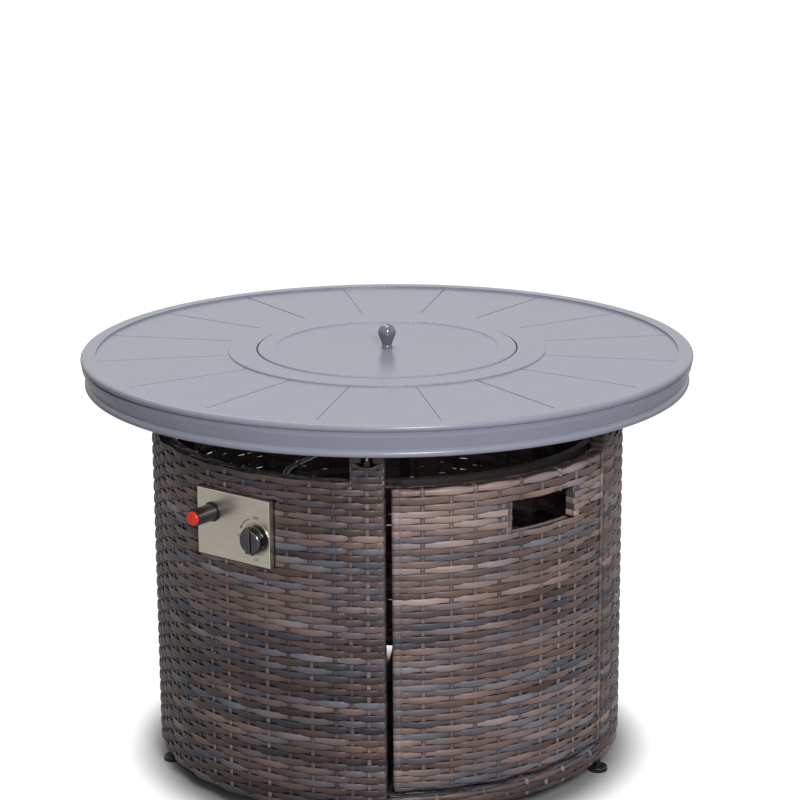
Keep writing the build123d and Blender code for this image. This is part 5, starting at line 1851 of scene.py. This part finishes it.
# CAD pieces that keep their mesh, by their finish
CAD_FINISHES: dict[FinishName, tuple[str, ...]] = {
    FinishName.SLATE: ("tabletop_sheet", "tabletop_rim", "burner_surround", "lid_plate"),
    FinishName.GLOSS_SLATE: ("lid_knob",),
    FinishName.FRAME: (
        "base_frame", "tank_tray", "door_pivot_brackets", "door_catch_bracket", "door_frame",
        "tabletop_frame",
    ),
    FinishName.PLATE: ("control_plate",),
    FinishName.STAINLESS: ("burner_pan", "burner_ring", "flame_guard", "thermocouple", "knob_bezel"),
    FinishName.ZINC: (
        "door_strike", "frame_screws", "burner_nipple", "burner_locknut", "control_plate_nuts",
        "control_bracket", "valve_spindle", "spring_seat", "spindle_spring", "igniter_spring",
        "lid_knob_screw",
    ),
    FinishName.BLACK_ZINC: ("door_pivot_pins", "post_bolt_nuts"),
    FinishName.CHROME: ("gas_knob",),
    FinishName.BRASS: (
        "door_bushes", "air_mixer", "orifice_elbow", "valve_body", "inlet_fitting", "tube_nuts",
    ),
    FinishName.TUBE: ("gas_tube",),
    FinishName.BLACK: (
        "door_catch_magnet", "igniter_housing", "igniter_nut", *(f"levelling_foot_{k}" for k in range(1, 6)),
    ),
    FinishName.RED: ("igniter_button",),
    FinishName.RUBBER: ("pan_grommets", "igniter_lead", "thermocouple_lead"),
    FinishName.CERAMIC: ("spark_electrode",),
}


def dress_cad_pieces() -> None:
    """Gives each CAD piece that keeps its mesh its finish."""
    for finish, nodes in CAD_FINISHES.items():
        for node in nodes:
            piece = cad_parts[node]
            if not piece.material_slots:
                piece.data.materials.append(None)
            for slot in piece.material_slots:
                slot.material = material(finish)
        log.info("%s: %s", finish.value.name, ", ".join(nodes))


# Studio


@dataclass
class Lamp:
    """A square soft white lamp that shines at a point."""

    name: str
    place: Triple
    target: Triple
    size: float
    power: float

    def build(self) -> None:
        """Adds the lamp."""
        data = bpy.data.lights.new(self.name, "AREA")
        data.shape = "SQUARE"
        data.size = self.size
        data.energy = self.power
        lamp = add_object(self.name, data)
        aim = Vector(self.target) - Vector(self.place)
        lamp.location = self.place
        lamp.rotation_euler = aim.to_track_quat("-Z", "Y").to_euler()


@dataclass
class Studio:
    """A plain pale floor, soft lamps and the camera at the photograph's angle. Lengths are metres.

    Args:
        lamps: the soft lamps.
        ambient: the light that comes from all round.
        floor_size: the floor's width.
        floor_colour: the floor's colour.
        floor_roughness: how far its little gloss is spread.
        floor_glow: the light that the floor shows a camera beside what falls on it.
        mirrored_floor: the share of the white floor that gloss mirrors.
        mirrored_sky: the share of the white background that gloss mirrors.
        painted_shade_inner: how far from the axis the floor's glow starts; nearer, under the table, the
            floor shows only the light that falls on it.
        painted_shade_outer: how far from the axis the glow is full; between the two it grows, a painted soft
            shadow round the base.
        camera_place: where the camera stands.
        camera_right: the camera's own x axis.
        camera_up: its y axis.
        camera_lens: its focal length in millimetres.
        camera_sensor: its sensor's width in millimetres.
    """

    lamps: tuple[Lamp, ...] = (
        Lamp("key_lamp", (0.65, -3.2, 2.1), (0.0, 0.0, 0.35), 0.7, 88.0),
        Lamp("fill_lamp", (-2.9, -1.6, 1.5), (0.0, 0.0, 0.35), 1.6, 1.5),
        Lamp("side_lamp", (3.2, 0.6, 1.9), (0.0, 0.0, 0.35), 1.6, 3.0),
        Lamp("back_lamp", (-1.2, 2.6, 3.4), (0.0, 0.0, 0.35), 1.6, 22.0),
        Lamp("front_lamp", (0.2, -3.5, 1.5), (0.0, 0.0, 0.35), 0.5, 18.0),
        Lamp("top_lamp", (0.0, 0.2, 3.2), (0.0, 0.0, 0.6), 1.6, 37.0),
    )
    ambient: float = 0.055
    floor_size: float = 60.0
    floor_colour: str = "#9A9A9A"
    floor_roughness: float = 0.9
    floor_glow: float = 0.97
    mirrored_floor: float = 0.30
    mirrored_sky: float = 0.95
    painted_shade_inner: float = 0.33
    painted_shade_outer: float = 0.43
    camera_place: Triple = (0.0, -3.51386, 1.46194)
    camera_right: Triple = (0.99995966, -0.00690718, -0.00574221)
    camera_up: Triple = (0.00729871, 0.25219801, 0.96764812)
    camera_lens: float = 108.2
    camera_sensor: float = 36.0

    def seen_ray(self, tree: bpy.types.NodeTree, mirrored: float) -> Socket:
        """How much of the white surroundings a ray sees: all for the camera, a share off gloss.

        Args:
            tree: the node tree that asks.
            mirrored: the share that gloss mirrors.

        Returns:
            The value's socket.
        """
        path = add_node(tree, "ShaderNodeLightPath").outputs
        times = {"operation": "MULTIPLY", 1: mirrored}
        gloss = add_node(tree, "ShaderNodeMath", times, {0: path["Is Glossy Ray"]}).outputs["Value"]
        sources = {0: path["Is Camera Ray"], 1: gloss}
        return add_node(tree, "ShaderNodeMath", {"operation": "MAXIMUM"}, sources).outputs["Value"]

    def build_floor(self) -> None:
        """Adds the floor, which shows the camera white, with its glow fading out round the base as a painted
        shadow.
        """
        bpy.ops.mesh.primitive_grid_add(x_subdivisions=8, y_subdivisions=8, size=self.floor_size)
        floor = bpy.context.object
        floor.name = "floor"
        pale = bpy.data.materials.new("pale_floor")
        pale.use_nodes = True
        tree = pale.node_tree
        inputs = tree.nodes["Principled BSDF"].inputs
        inputs["Base Color"].default_value = linear(self.floor_colour)
        inputs["Roughness"].default_value = self.floor_roughness
        inputs["Specular IOR Level"].default_value = 0.0
        inputs["Emission Color"].default_value = linear("#FFFFFF")
        place = add_node(tree, "ShaderNodeTexCoord").outputs["Object"]
        distance = add_node(tree, "ShaderNodeVectorMath", {"operation": "LENGTH"}, {0: place})
        # Painted shadow: the floor's glow fades out towards the table's axis, by distance alone, so the
        # floor round and under the base shows dark.
        painted_shade = {
            "From Min": self.painted_shade_inner,
            "From Max": self.painted_shade_outer,
            "To Max": self.floor_glow,
            "interpolation_type": "SMOOTHSTEP",
        }
        clear = add_node(tree, "ShaderNodeMapRange", painted_shade, {"Value": distance.outputs["Value"]})
        sources = {0: self.seen_ray(tree, self.mirrored_floor), 1: clear.outputs["Result"]}
        glow = add_node(tree, "ShaderNodeMath", {"operation": "MULTIPLY"}, sources)
        tree.links.new(glow.outputs["Value"], inputs["Emission Strength"])
        floor.data.materials.append(pale)

    def build_world(self) -> None:
        """Sets an even light from all round, white where it is seen."""
        world = bpy.data.worlds.new("studio")
        bpy.context.scene.world = world
        world.use_nodes = True
        tree = world.node_tree
        inputs = tree.nodes["Background"].inputs
        inputs["Color"].default_value = linear("#FFFFFF")
        ends = {"To Min": self.ambient, "To Max": 1.0}
        seen = self.seen_ray(tree, self.mirrored_sky)
        strength = add_node(tree, "ShaderNodeMapRange", ends, {"Value": seen})
        tree.links.new(strength.outputs["Result"], inputs["Strength"])

    def build_camera(self) -> None:
        """Adds the camera."""
        data = bpy.data.cameras.new("camera")
        data.lens = self.camera_lens
        data.sensor_width = self.camera_sensor
        camera = add_object("camera", data)
        right, up = Vector(self.camera_right), Vector(self.camera_up)
        turn = Matrix((right, up, right.cross(up))).transposed().to_4x4()
        camera.matrix_world = Matrix.Translation(self.camera_place) @ turn
        bpy.context.scene.camera = camera

    def build(self) -> None:
        """Adds the floor, the light and the camera."""
        bpy.context.scene.view_settings.view_transform = "Standard"
        self.build_floor()
        self.build_world()
        self.build_camera()
        for lamp in self.lamps:
            lamp.build()
        log.info("studio: %d lamps", len(self.lamps))


def main() -> None:
    """Builds every piece and the studio."""
    logging.basicConfig(level=logging.INFO, format="%(name)s %(message)s")
    dress_cad_pieces()
    base = WickerBase()
    base.build()
    WickerDoor().build()
    PostBolts().build(base)
    LavaBed().build()
    PlateMarks().build()
    Studio().build()


if __name__ == "__main__":
    main()
